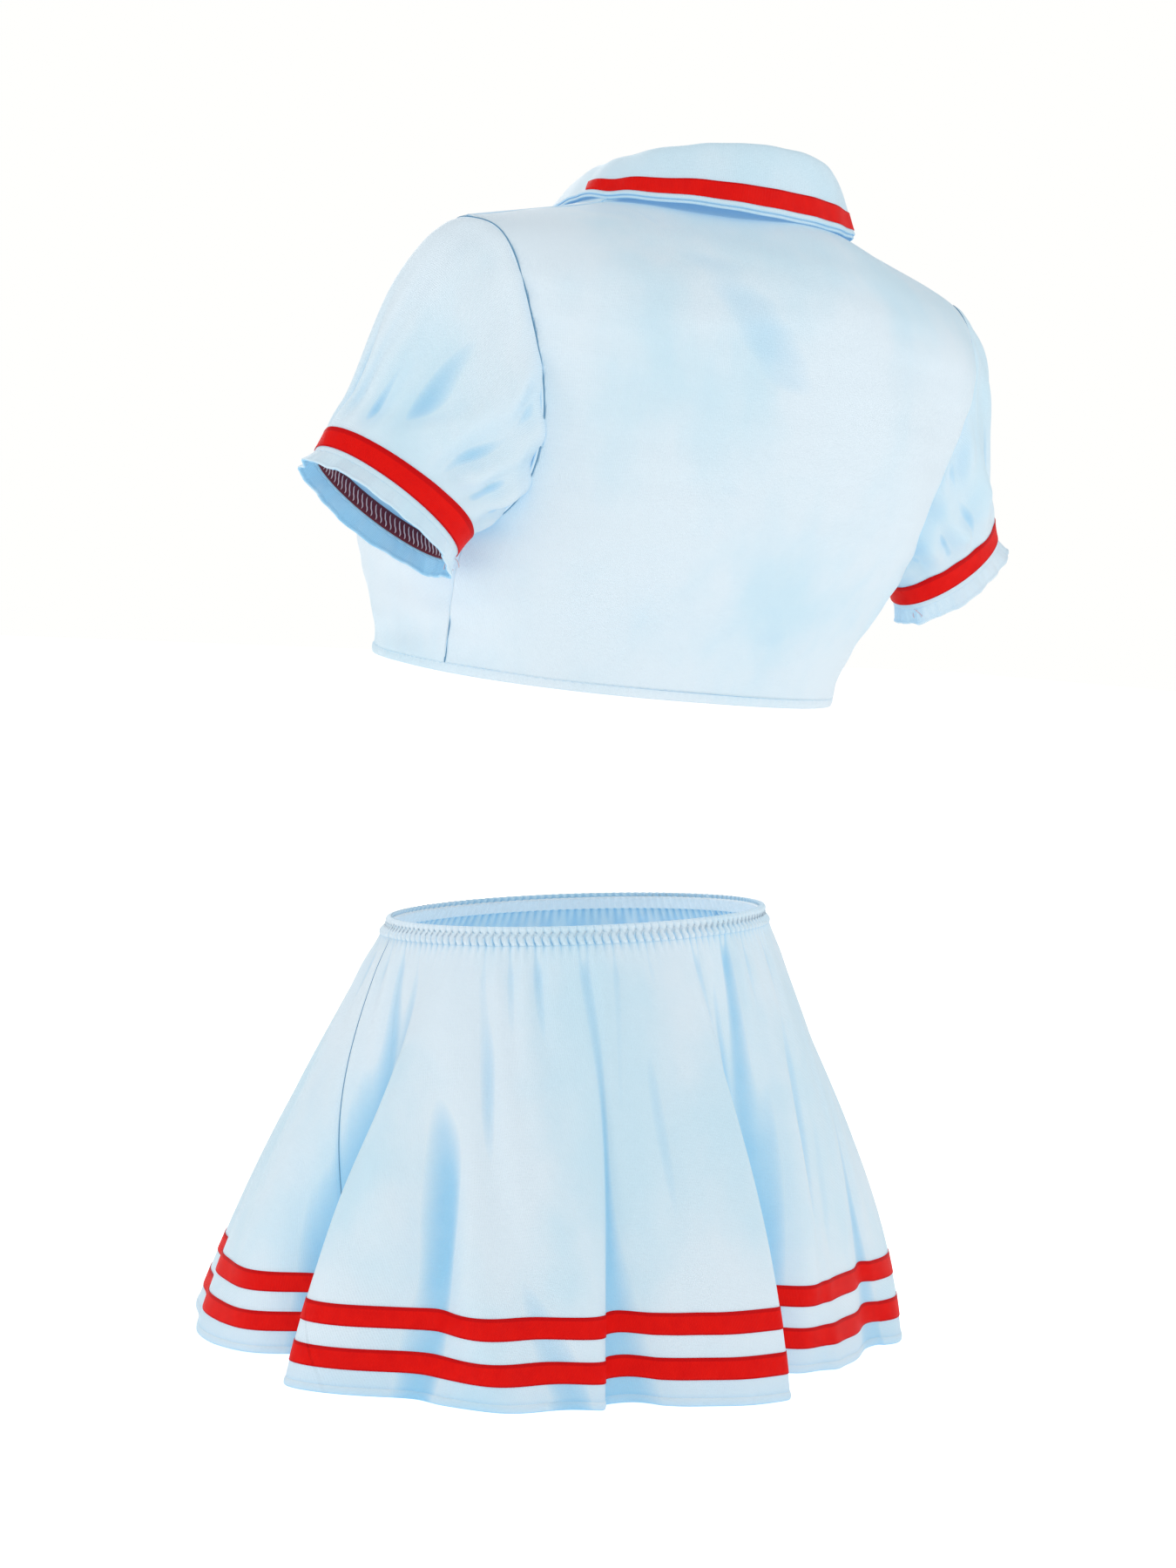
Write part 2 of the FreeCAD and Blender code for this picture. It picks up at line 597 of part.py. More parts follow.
def collar_front_lines(step):
    """The same lines in front: step 0 at the side and 1 at the bottom of the V."""
    cosine, sine = math.cos(step * QUARTER), math.sin(step * QUARTER)
    side = neck_side()
    seam = neck_front(mix(lean_at(side), NECK_V_LEAN, ease_in(step)))
    out, ahead, up = COLLAR_FRONT_FOLD
    fold = seam + Vector(mix(out, COLLAR_FOLD_SIDE[0] - side.x, cosine), ahead * sine,
                         mix(up, COLLAR_FOLD_SIDE[1] - side.z, cosine))
    corner = Vector(COLLAR_EDGE_SIDE[0], side.y, COLLAR_EDGE_SIDE[1])
    start = lean_at(corner)
    over = corner - body_front(corner.x, start)
    edge = body_front(mix(COLLAR_POINT_X, corner.x, cosine), mix(start, COLLAR_POINT_LEAN, ease_in(step)),
                      COLLAR_CLEAR * step)
    return seam, fold, edge + over * (1 - step)


def collar_lines(way):
    """Lines of the whole collar: way 0 at the back, +-0.5 at the sides and +-1 in front."""
    ahead = abs(way)
    lines = collar_back_lines(ahead * math.pi) if ahead <= 0.5 else collar_front_lines(2 * ahead - 1)
    side = -1 if way < 0 else 1
    return [Vector(side * point.x, point.y, point.z) for point in lines]


def collar_surface(way, across):
    """Collar: across 0 at the neck seam, over the fold, 1 at the outer edge."""
    seam, fold, edge = collar_lines(way)
    outward = edge - seam
    outward.z = 0
    outward = outward.normalize() * COLLAR_ROLL
    if across < COLLAR_FOLD:
        stand = (fold - seam) * COLLAR_PULL
        return hermite(seam, stand, fold, outward, across / COLLAR_FOLD)
    step = (across - COLLAR_FOLD) / (1 - COLLAR_FOLD)
    return hermite(fold, outward, edge, (edge - fold) * COLLAR_PULL, step)


def neck_tape_surface(way, across):
    """Just below the back neck seam, across 0 at the seam and 1 a tape's width away."""
    start, width = NECK_TAPE
    wider = start + width * across
    turn = way * math.pi
    return body_top((NECK_HALF_WIDTH + wider) * math.sin(turn),
                    neck_middle() + (NECK_BACK_DEPTH + wider) * math.cos(turn))


def collar_leaf(layer, inset):
    """One layer of the collar, stopping a number of grid steps short of its edges."""
    columns, rows = COLLAR_GRID
    end = COLLAR_END * (1 - 2 * inset / columns)
    low, high = COLLAR_SPAN
    shorter = (high - low) * inset / rows
    middle = layer * (COLLAR_LAYER + LAYER_GAP / 2)
    return sheet(collar_surface, (-end, end), (low + shorter, high - shorter), middle - COLLAR_LAYER / 2,
                 middle + COLLAR_LAYER / 2, columns + 1 - 2 * inset, rows + 1 - 2 * inset)


def make_neck():
    nodes = {}
    for name, layer, inset in (("collar_under", -1, 0), ("collar_interfacing", 0, 1), ("collar_upper", 1, 0)):
        nodes[name] = collar_leaf(layer, inset)
    ribbon = 1.5 * COLLAR_LAYER + 1.5 * LAYER_GAP
    stripe_span = (-COLLAR_STRIPE_END, COLLAR_STRIPE_END)
    nodes["collar_stripe"] = sheet(
        collar_surface, stripe_span, COLLAR_STRIPE, ribbon, ribbon + RIBBON, 41, 6)
    inside = -CLOTH / 2 - LAYER_GAP
    tape_span = (-NECK_TAPE_END, NECK_TAPE_END)
    nodes["neck_tape"] = sheet(neck_tape_surface, tape_span, (0, 1), inside - RIBBON, inside, 31, 4)
    nodes["size_label"] = make_size_label(inside - RIBBON - LAYER_GAP)
    return nodes


def make_size_label(inside):
    """Blank label inside the back of the neck."""
    width, length = SIZE_LABEL
    top = SIZE_LABEL_PLACE + length / SHOULDER_TIP[1]

    def label(across, rise):
        return panel_surface(QUARTER + across / HALF_WIDTH[0][1], rise)

    return sheet(label, (-width / 2, width / 2), (SIZE_LABEL_PLACE, top), inside - LABEL, inside, 4, 6)


# ---------------------------------------------------------------- assembly

def place_top(shape):
    """Stand the top over the skirt with its lean."""
    lean = FreeCAD.Rotation(Vector(0, 1, 0), -math.degrees(LEAN_RIGHT)).multiply(
        FreeCAD.Rotation(Vector(1, 0, 0), -math.degrees(LEAN_BACK)))
    placed = shape.copy()
    placed.Placement = FreeCAD.Placement(TOP_ORIGIN, lean).multiply(placed.Placement)
    return placed


def main():
    os.makedirs("parts", exist_ok=True)
    nodes = make_skirt()
    for pieces in (make_body(), make_sleeves(), make_neck()):
        for name, shape in pieces.items():
            nodes[name] = place_top(shape)
    for name, shape in nodes.items():
        shape.exportStep("parts/%s.step" % name)


main()
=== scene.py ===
import math

import bpy
import numpy as np
from mathutils import Matrix, Vector


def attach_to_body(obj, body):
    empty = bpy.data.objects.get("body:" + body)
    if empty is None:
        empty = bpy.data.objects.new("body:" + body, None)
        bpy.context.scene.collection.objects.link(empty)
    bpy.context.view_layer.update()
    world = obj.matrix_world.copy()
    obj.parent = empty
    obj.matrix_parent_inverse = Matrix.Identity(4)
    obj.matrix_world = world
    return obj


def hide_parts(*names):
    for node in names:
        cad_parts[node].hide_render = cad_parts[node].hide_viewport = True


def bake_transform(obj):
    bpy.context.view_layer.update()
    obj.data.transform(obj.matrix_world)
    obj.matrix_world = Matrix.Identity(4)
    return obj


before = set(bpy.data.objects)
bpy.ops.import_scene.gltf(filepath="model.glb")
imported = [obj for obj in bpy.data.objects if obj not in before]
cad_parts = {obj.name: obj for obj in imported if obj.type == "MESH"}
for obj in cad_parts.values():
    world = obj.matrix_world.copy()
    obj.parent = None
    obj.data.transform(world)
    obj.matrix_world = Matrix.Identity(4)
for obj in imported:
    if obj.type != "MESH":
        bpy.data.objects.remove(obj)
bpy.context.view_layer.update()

# Cheer uniform: cropped top with a turned-down collar and puff sleeves over a flared skirt.
# The cloth is laid out as grids of points in millimetres, on the same surfaces as the CAD
# sheets, then given folds, gathers and ripples. make_piece() turns a grid into a closed mesh.
# Directions round a garment are turns: 0 is the wearer's left and a quarter turn is the back.

MM = 0.001
TURN = 2 * math.pi
QUARTER = math.pi / 2

# Skirt, as in the CAD
SKIRT_HEIGHT = 256.0
WAIST_HALF = (121.0, 94.0)
HEM_HALF = (220.0, 196.0)
HEM_SHIFT_Y = -10.0
HIP_ROUNDING = 0.35
WAIST_SLOPE = (-0.05, 0.05)
SKIRT_SEAMS = (math.radians(-12.0), math.radians(192.0))
SEAM_SLANT = math.radians(27.0)
CASING_HEIGHT = 10.0
SKIRT_HEM = 4.0
STRIPE_WIDTH = 11.5
STRIPE_LOWS = {"lower": 14.0, "upper": 37.5}

# Each fold: degrees, depth, width in degrees, drop at which it starts, and how far it laps over
SKIRT_FOLDS = (
    (-62, 8, 9, 0.3, 0.3), (-24, -3, 9, 0.4, 0.2), (16, -24, 7.0, 0.0, 1.25), (39, -9, 6, 0.2, 0.5),
    (52, 5, 5, 0.05, 0.2), (65, 10, 6, 0.1, 1.1), (78, 5, 5, 0.0, 0.3), (94.5, 22, 6.5, 0.0, 1.25),
    (114, 4, 5, 0.1, 0.3), (136, -5, 7, 0.15, 0.6), (166, 11, 8, 0.15, 0.9), (186, -10, 7, 0.15, 0.9),
    (207, -12, 8, 0.2, 1.0), (234, 12, 8, 0.15, 1.0), (262, -11, 8, 0.15, 0.9), (282, 10, 7, 0.2, 0.8),
)
FOLD_PEAK, FOLD_BREADTH = 1.3, 3.2    # factor on a fold's depth, and breadth of its curve
FOLD_GROWTH = 1.35               # power by which folds grow towards the hem
LAP_RADIUS = 200.0               # turns a fold's angle into the distance that it laps over
HEM_LIFT = (math.radians(-48), math.radians(24), 11.0)     # direction, spread and height of its raised part
RING_RIPPLES = ((2.0, (11, 15, 19, 23, 28), 3), (0.5, (34, 43, 55), 5))   # depth, wave counts and seed
PLEATS = (1.7, (23, 29, 31, 37, 47, 53), 9)                               # the same
PLEAT_FADE = 60.0                # distance below the casing over which the pleats die out
SEAM_DENT = (0.8, 0.008125)      # depth, and width in radians, of the dent along a side seam
GATHERS = 146                    # small ridges round the waist
SKIRT_COLUMNS = 8 * GATHERS
GATHER_DEPTH = 0.9
GATHER_FADE = 5.0                # distance below the casing over which the gathers die out
FOLD_DEPTH = 7.0                 # valley depth at which the painted fold shade is well grown
VALLEY_REACHES = ((2.2, 1.8), (5.0, 1.6), (12.0, 1.0), (24.0, 0.7), (42.0, 0.4))   # reach and share

RIM_BULGE = 0.35                 # share of its thickness by which a cloth edge rounds out

# Cloth layers: where the inner and the outer face lie from the surface that the grid follows
KNIT_LAYER = (-0.5, 0.5)
SEAM_LAYER = (-1.9, -0.9)
SKIRT_RIBBON_LAYER = (0.55, 0.95)
SLEEVE_RIBBON_LAYER = (0.6, 1.1)
BINDING_LAYER = (-1.4, -0.9)
COLLAR_RIBBON_LAYER = (1.25, 1.75)
ALLOWANCE_LAYER = (-0.6, 0.6)
SHOULDER_TAPE_LAYER = (-1.6, -1.0)
NECK_TAPE_LAYER = (-1.6, -0.9)
SIZE_TAG_LAYER = (-2.7, -2.3)
CARE_TAG_LAYER = (-3.4, -3.0)

# Top, as in the CAD, in its own leaned frame
TOP_ORIGIN = (0.0, 13.0, 398.0)
LEAN_BACK = math.radians(5.0)
LEAN_RIGHT = math.radians(2.0)
SHOULDER_TIP = (181.0, 252.0)
SHOULDER_SLOPE = 0.227
SHOULDER_ROLL = 66.0
ROLL_START = 0.62
SECTION_POWER = 2.4
HALF_WIDTH = ((0, 149), (90, 162), (262, 186))
BACK_DEPTH = ((0, 100), (110, 134), (300, 98))
FRONT_DEPTH = ((0, 97), (80, 148), (180, 106), (300, 88))
MIDDLE_Y = ((0, 0), (262, 52))
TOP_SEAM = math.radians(20.0)
TOP_HEM = 5.0
ARMHOLE_MIDDLE = (58.0, 168.0)
ARMHOLE_HALF = (47.0, 82.0)
CUFF_TILT, CUFF_YAW, CUFF_NOD = 31.0, -21.0, 19.0
SLEEVE_START_PULL = 65.0
SLEEVE_END_PULL = 78.0
SLEEVE_PUFF = np.array((12.0, 0.0, -2.0))
SLEEVE_STRIPE = (3.0, 12.5)
OVERLOCK_BAND = (1.0, 9.0)
FRILL_LENGTH = 9.0
NECK_HALF_WIDTH = 60.0
NECK_BACK_DEPTH = 60.0
NECK_V_DROP = 93.0
NECK_V_LEAN = math.radians(122.0)
NECK_FORWARD = 22.0
COLLAR_FOLD_BACK = (66.0, 317.0)
COLLAR_FOLD_SIDE = (70.0, 297.0)
COLLAR_EDGE_BACK = (83.0, 278.0)
COLLAR_EDGE_SIDE = (93.0, 276.0)
COLLAR_POINT_X = 42.0
COLLAR_POINT_LEAN = math.radians(140.0)
COLLAR_FRONT_FOLD = (3.0, -8.0, 5.0)
COLLAR_CLEAR = 7.0
COLLAR_PULL = 0.9
COLLAR_FOLD = 0.45
COLLAR_ROLL = 24.0
FAR_AWAY = 99.0                  # a distance on the cloth that no opening comes near

# Cuff oval: 7 mm flatter than in the CAD, and moved 3.5 mm backwards and 1 mm up
CUFF_MIDDLE = np.array((213.0, 55.5, 89.0))
CUFF_HALF = (48.0, 29.5)
SLEEVE_COLUMNS = 528
SLEEVE_STRETCH = ((157.5, 58.0, 86.0), (9.8, 0.0, -2.0))   # start and run of a line up the sleeve cloth; attach() works out its end points, but nothing uses them
LADDER_STEP = 6                  # columns from one overlock thread to the next
LADDER_SHIFT = (0, 0, 1, 3, 4, 5, 5)   # columns that a thread has slanted over, row by row

# Plain materials: colour, roughness, grain in millimetres, bump depth in metres and glow, which is painted
# light given off by a part that is no lamp
PLAIN_MATERIALS = {
    # The elastic's glow is painted light that brightens it in the shade inside the waist
    "white_elastic": ((0.9, 0.93, 0.95), 0.7, 1.2, 0.0004, 0.16),
    "pale_thread": ((0.74, 0.84, 0.92), 0.6, 0.5, 0.0001, 0.0),
    "burgundy_binding": ((0.16, 0.008, 0.022), 0.6, 0.8, 0.0003, 0.0),
    "overlock_thread": ((0.8, 0.62, 0.66), 0.55, 0.5, 0.0001, 0.0),
    "white_tape": ((0.8, 0.84, 0.86), 0.65, 0.9, 0.0002, 0.0),
    "label_stock": ((0.85, 0.86, 0.86), 0.4, 0.6, 0.0001, 0.0),
    # seam_shade is painted shade: the dark blue of the shadow along a seam, put on thin cords
    "seam_shade": ((0.16, 0.36, 0.55), 0.7, 0.5, 0.0001, 0.0),
}

RIBBON_HALF_WIDTH = 5.5

# Pale knit, in linear light: on open cloth, in its cooler patches, and the painted shade deep in a fold
KNIT_LIGHT, KNIT_COOL, KNIT_PAINTED_SHADE = (0.79, 0.86, 0.91), (0.62, 0.80, 0.89), (0.17, 0.53, 0.82)

# Studio and camera, in metres, watts, radians and millimetres of lens
STUDIO_WHITE = (1.0, 1.0, 0.985)
FLOOR_HALF = 12.0
GARMENT_MIDDLE = (0, 0, 0.38)
LIGHTS = {   # place, size and power
    "key": ((0.3, 2.0, 2.4), 0.9, 14),
    "left_side": ((2.5, -1.0, 1.1), 1.0, 13),
    "right_side": ((-2.2, 1.2, 1.2), 1.2, 6),
    "front": ((-0.8, -2.4, 1.6), 1.5, 15),
}
CAMERA_AZIMUTH, CAMERA_PITCH, CAMERA_ROLL = (math.radians(a) for a in (38, 3.706, 3.4))
CAMERA_DISTANCE, CAMERA_HEIGHT = 1.950, 0.461
CAMERA_LENS, CAMERA_SHIFT = 74.1, (0.0013, -0.0022)

made = []   # every piece of the garment, for attach() to fix to a body or leave in place


# ---- point arithmetic

def points_of(x, y, z):
    return np.stack(np.broadcast_arrays(x, y, z), axis=-1).astype(float)


def unit(vectors):
    return vectors / np.maximum(np.linalg.norm(vectors, axis=-1, keepdims=True), 1e-9)


def mix(start, end, step):
    return start + (end - start) * step


def ease(low, high, value):
    """Smooth step from 0 at low to 1 at high."""
    step = np.clip((value - low) / (high - low), 0, 1)
    return step * step * (3 - 2 * step)


def between(height, table):
    """Value at a height, eased between the entries of a (height, value) table."""
    heights, values = (np.array(column, float) for column in zip(*table))
    at = np.clip(np.searchsorted(heights, height, side="right") - 1, 0, len(table) - 2)
    return mix(values[at], values[at + 1], ease(heights[at], heights[at + 1], height))


def hermite(start, pull_start, end, pull_end, step):
    square, cube = step * step, step * step * step
    return (start * (2 * cube - 3 * square + 1) + pull_start * (cube - 2 * square + step)
            + end * (3 * square - 2 * cube) + pull_end * (cube - square))


def grid(u_span, v_span, u_count, v_count):
    """Two arrays of u and v values over a rectangle."""
    u = np.linspace(u_span[0], u_span[1], u_count)
    v = np.linspace(v_span[0], v_span[1], v_count)
    return np.meshgrid(u, v, indexing="ij")


def ring_grid(v_span, columns, rows, start=0.0):
    """Turns once round a ring, and v values over a span."""
    return grid((start, start + TURN - TURN / columns), v_span, columns, rows)


def cell_corners(values):
    """The values at the four corners of each cell of a grid."""
    return np.stack([values[:-1, :-1], values[1:, :-1], values[1:, 1:], values[:-1, 1:]], -1)


def normals(points, ring=False):
    """Outward normals of a grid whose u runs round and whose v runs up."""
    if ring:
        along_u = np.roll(points, -1, 0) - np.roll(points, 1, 0)
    else:
        along_u = np.gradient(points, axis=0)
    return unit(np.cross(along_u, np.gradient(points, axis=1)))


def waves(u, v, count, u_range, v_range, seed):
    """Sum of sines with random directions, roughly within -1 to 1."""
    pick = np.random.default_rng(seed)
    total = np.zeros_like(u)
    for _ in range(count):
        total += np.sin(pick.uniform(*u_range) * u + pick.uniform(*v_range) * v + pick.uniform(0, TURN))
    return total / math.sqrt(count)


def ring_waves(turn, counts, seed):
    """Sum of waves that close up round a ring, roughly within -1 to 1."""
    phases = np.random.default_rng(seed).uniform(0, TURN, len(counts))
    total = sum(np.sin(count * turn + phase) for count, phase in zip(counts, phases))
    return total / math.sqrt(len(counts))


# ---- mesh building

def neighbours(points, step, ring):
    """The points a number of columns before and after each point."""
    if ring:
        return np.roll(points, step, 0), np.roll(points, -step, 0)
    index = np.arange(len(points))
    last = len(points) - 1
    return points[np.clip(index - step, 0, last)], points[np.clip(index + step, 0, last)]


def fold_shade(points, out, ring):
    """Painted fold shade: 0 on open cloth, towards 1 in a deep valley and -1 on a high ridge, judged along u.
    """
    spacing = np.linalg.norm(np.diff(points, axis=0), axis=-1).mean()
    depth = 0.0
    for reach, share in VALLEY_REACHES:
        before, after = neighbours(points, max(1, int(reach / spacing)), ring)
        depth = depth + share * (((before + after) / 2 - points) * out).sum(-1)
    return np.sign(depth) * (1 - np.exp(-np.abs(depth) / FOLD_DEPTH))


def cloth_lengths(points):
    """Distances in millimetres along u and along v of each grid point."""
    along = np.linalg.norm(np.diff(points, axis=0), axis=-1).mean(1)
    across = np.linalg.norm(np.diff(points, axis=1), axis=-1).mean(0)
    u = np.concatenate([[0], np.cumsum(along)])
    v = np.concatenate([[0], np.cumsum(across)])
    return np.stack(np.meshgrid(u, v, indexing="ij"), -1)


def add_mesh(name, vertices, faces, material):
    """New smooth object from vertices in millimetres, with a named material."""
    mesh = bpy.data.meshes.new(name)
    mesh.from_pydata((np.asarray(vertices) * MM).tolist(), [], faces)
    mesh.shade_smooth()
    mesh.materials.append(bpy.data.materials[material])
    piece = bpy.data.objects.new(name, mesh)
    bpy.context.scene.collection.objects.link(piece)
    made.append(piece)
    return piece


def add_values(piece, lengths, valley):
    """Cloth distances as a UV map and valley depth, which sets the painted fold shade, as a point attribute.
    """
    mesh = piece.data
    corners = np.zeros(len(mesh.loops), int)
    mesh.loops.foreach_get("vertex_index", corners)
    layer = mesh.uv_layers.new(name="cloth")
    layer.data.foreach_set("uv", lengths[corners].astype(np.float32).ravel())
    attribute = mesh.attributes.new("valley", "FLOAT", "POINT")
    attribute.data.foreach_set("value", valley.astype(np.float32))


def make_piece(name, points, layer, covers, material="pale_knit", ring=False, tint=1.0):
    """Closed cloth piece between two offsets of a grid of points, with rounded rims.

    u runs round and v runs up. The two offsets of a layer may vary over the grid. covers names
    the CAD nodes that the piece replaces, and tint scales the painted fold shade."""
    out = normals(points, ring)
    near, far = (np.broadcast_to(np.asarray(d, float), points.shape[:2])[..., None] for d in layer)
    outer, inner = points + out * far, points + out * near
    rim = (far - near) * RIM_BULGE
    middle = (outer + inner) / 2
    low = middle[:, 0] + unit(points[:, 0] - points[:, 1]) * rim[:, 0]
    high = middle[:, -1] + unit(points[:, -1] - points[:, -2]) * rim[:, -1]
    profile = np.concatenate([outer, high[:, None], inner[:, ::-1], low[:, None]], axis=1)
    columns, rows = points.shape[:2]
    around = profile.shape[1]
    index = np.arange(columns * around).reshape(columns, around)
    start = np.arange(columns if ring else columns - 1)
    a, b = index[start], index[(start + 1) % columns]
    faces = np.stack([a, b, np.roll(b, -1, 1), np.roll(a, -1, 1)], -1).reshape(-1, 4).tolist()
    if not ring:
        faces += end_faces(index[0], rows, 1) + end_faces(index[-1], rows, -1)
    piece = add_mesh(name, profile.reshape(-1, 3), faces, material)
    order = np.concatenate([np.arange(rows), [rows - 1], np.arange(rows)[::-1], [0]])
    valley = fold_shade(points, out, ring)[:, order] * tint
    valley[:, rows + 1:] *= -1
    add_values(piece, cloth_lengths(points)[:, order].reshape(-1, 2), valley.ravel())
    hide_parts(*covers)


def end_faces(line, rows, step):
    """Faces over the end of an open piece: a quad for each row and a triangle at each rim."""
    corners = [(k, k + 1, 2 * rows - k - 1, 2 * rows - k) for k in range(rows - 1)]
    corners += [(rows - 1, rows, rows + 1), (2 * rows, 2 * rows + 1, 0)]
    return [line[list(face)][::step].tolist() for face in corners]


def make_cord(name, lines, radius, material, closed=False, sides=6):
    """Round cords along lines of points, all in one piece."""
    vertices, faces = [], []
    for line in lines:
        add_cord(vertices, faces, np.asarray(line, float), radius, closed, sides)
    add_mesh(name, np.concatenate(vertices), faces, material)


def add_cord(vertices, faces, line, radius, closed, sides):
    """Adds one cord, closed or with tapered ends, to lists of vertices and faces."""
    count = len(line)
    along = unit(np.roll(line, -1, 0) - np.roll(line, 1, 0)) if closed else unit(np.gradient(line, axis=0))
    helper = np.array((0.31, 0.2, 0.93)) if abs(along[0][2]) < 0.8 else np.array((0.93, 0.31, 0.2))
    side = np.zeros_like(line)
    side[0] = unit(np.cross(along[0], helper))
    for i in range(1, count):
        side[i] = unit(side[i - 1] - along[i] * (side[i - 1] @ along[i]))
    if closed:
        last = unit(side[-1] - along[0] * (side[-1] @ along[0]))
        twist = math.atan2(np.cross(side[0], last) @ along[0], side[0] @ last)
        angle = -twist * np.arange(count)[:, None] / count
        side = side * np.cos(angle) + np.cross(along, side) * np.sin(angle)
    up = np.cross(along, side)
    turn = (np.arange(sides) * TURN / sides)[None, :, None]
    size = np.full(count, radius)
    if not closed:
        size[[0, -1]] *= 0.45
    rings = line[:, None] + (side[:, None] * np.cos(turn) + up[:, None] * np.sin(turn)) * size[:, None, None]
    first = sum(len(v) for v in vertices)
    vertices.append(rings.reshape(-1, 3))
    index = first + np.arange(count * sides).reshape(count, sides)
    start = np.arange(count if closed else count - 1)
    a, b = index[start], index[(start + 1) % count]
    faces.extend(np.stack([a, np.roll(a, -1, 1), np.roll(b, -1, 1), b], -1).reshape(-1, 4).tolist())
    if not closed:
        faces.append(index[0, ::-1].tolist())
        faces.append(index[-1].tolist())


# ---- materials

def new_material(name, colour, roughness, sheen=0.0):
    """Principled material and the shader to add detail to."""
    material = bpy.data.materials.new(name)
    material.use_nodes = True
    shader = material.node_tree.nodes["Principled BSDF"]
    shader.inputs["Base Color"].default_value = (*colour, 1)
    shader.inputs["Roughness"].default_value = roughness
    shader.inputs["Sheen Weight"].default_value = sheen
    shader.inputs["Sheen Roughness"].default_value = 0.45
    return material.node_tree, shader


def darker(colour, share):
    return tuple(part * share for part in colour)


def add_node(tree, kind, **values):
    """New node, with its input sockets or properties set by name."""
    node = tree.nodes.new("ShaderNode" + kind)
    for name, value in values.items():
        socket = name.replace("_", " ").title()
        if socket in node.inputs:
            node.inputs[socket].default_value = value
        else:
            setattr(node, name, value)
    return node


def feed(socket, value):
    """Sets an input socket from another socket, a number or a colour."""
    if isinstance(value, bpy.types.NodeSocket):
        socket.id_data.links.new(value, socket)
    elif isinstance(value, tuple):
        socket.default_value = (*value, 1)
    else:
        socket.default_value = value


def calculate(operation, first, *others):
    """Output of a math node on a socket and on sockets or numbers."""
    node = add_node(first.id_data, "Math", operation=operation)
    for socket, value in zip(node.inputs, (first, *others)):
        feed(socket, value)
    return node.outputs[0]


def blend_colours(amount, first, second):
    """Output of a colour mix; each colour is a socket or a linear triple."""
    node = add_node(amount.id_data, "Mix", data_type="RGBA")
    for name, value in (("Factor", amount), (6, first), (7, second)):
        feed(node.inputs[name], value)
    return node.outputs[2]


def smooth_step(value, low, high, top=1.0):
    """Socket that eases from 0 to a top value while another goes from low to high."""
    node = add_node(value.id_data, "MapRange", interpolation_type="SMOOTHSTEP")
    for socket, setting in zip(node.inputs[:5], (value, low, high, 0.0, top)):
        feed(socket, setting)
    return node.outputs[0]


def cloth_place(tree):
    """Sockets of the distance along and across the cloth, in millimetres."""
    split = add_node(tree, "SeparateXYZ")
    feed(split.inputs[0], add_node(tree, "UVMap", uv_map="cloth").outputs[0])
    return split.outputs[0], split.outputs[1]


def space_noise(tree, scale, detail=3.0, stretch=(1, 1, 1)):
    """Noise in space, with a scale per metre."""
    shape = add_node(tree, "Mapping")
    shape.inputs["Scale"].default_value = stretch
    feed(shape.inputs[0], add_node(tree, "TexCoord").outputs["Object"])
    noise = add_node(tree, "TexNoise", scale=scale, detail=detail)
    feed(noise.inputs["Vector"], shape.outputs[0])
    return noise.outputs["Fac"]


def ridges(distance, pitch):
    """Rounded ridges 0 to 1, a pitch apart along a distance socket."""
    wave = calculate("SINE", calculate("MULTIPLY", distance, TURN / pitch))
    return calculate("MULTIPLY_ADD", wave, 0.5, 0.5)


def add_bump(shader, height, distance, strength):
    bump = add_node(shader.id_data, "Bump", strength=strength, distance=distance)
    feed(bump.inputs["Height"], height)
    feed(shader.inputs["Normal"], bump.outputs[0])


def add_glow(shader, colour, strength):
    feed(shader.inputs["Emission Color"], colour)
    feed(shader.inputs["Emission Strength"], strength)


def painted_shade_amount(tree, shadow):
    """Amount of painted shade, from 0 towards 1: how far the cloth lies in a fold or in shadow."""
    valley = add_node(tree, "Attribute", attribute_name="valley").outputs["Fac"]
    uneven = calculate("MULTIPLY_ADD", space_noise(tree, 34, 4.0), 0.7, 0.6)
    fold = calculate("MULTIPLY", calculate("MAXIMUM", valley, 0.0), uneven)
    open_sky = add_node(tree, "AmbientOcclusion", samples=6, distance=0.05).outputs["AO"]
    hidden = calculate("MULTIPLY_ADD", open_sky, -shadow, shadow)
    return calculate("MINIMUM", calculate("ADD", fold, hidden), 0.92)


def knit_material(name, shadow):
    """Smooth stretch knit: fine ribs and courses, with painted shade that makes it bluer wherever the cloth
    lies in a fold or in shadow.
    """
    tree, shader = new_material(name, KNIT_LIGHT, 0.5, 0.25)
    patches = smooth_step(space_noise(tree, 11, 4.0, (1, 1, 0.6)), 0.38, 0.68)
    base = blend_colours(patches, KNIT_LIGHT, KNIT_COOL)
    # Painted shade: blue mixed into the colour by fold depth and ambient occlusion, where light would shade
    # the cloth
    colour = blend_colours(painted_shade_amount(tree, shadow), base, KNIT_PAINTED_SHADE)
    along, across = cloth_place(tree)
    ribs = calculate("MULTIPLY", ridges(along, 0.9), ridges(across, 0.7))
    pile = space_noise(tree, 900, 2.0)
    weave = calculate("ADD", ribs, pile)
    shaded = blend_colours(calculate("MULTIPLY", weave, 0.08), colour, darker(KNIT_LIGHT, 0.72))
    feed(shader.inputs["Base Color"], shaded)
    # Painted light: a pale blue glow of its own that lifts the shade, though the cloth is no lamp
    add_glow(shader, (0.5, 0.78, 0.96), 0.17)
    soft = space_noise(tree, 60, 5.0, (1, 1, 0.45))
    add_bump(shader, calculate("MULTIPLY_ADD", soft, 2.2, weave), 0.0004, 0.5)
    feed(shader.inputs["Roughness"], calculate("MULTIPLY_ADD", pile, 0.18, 0.40))


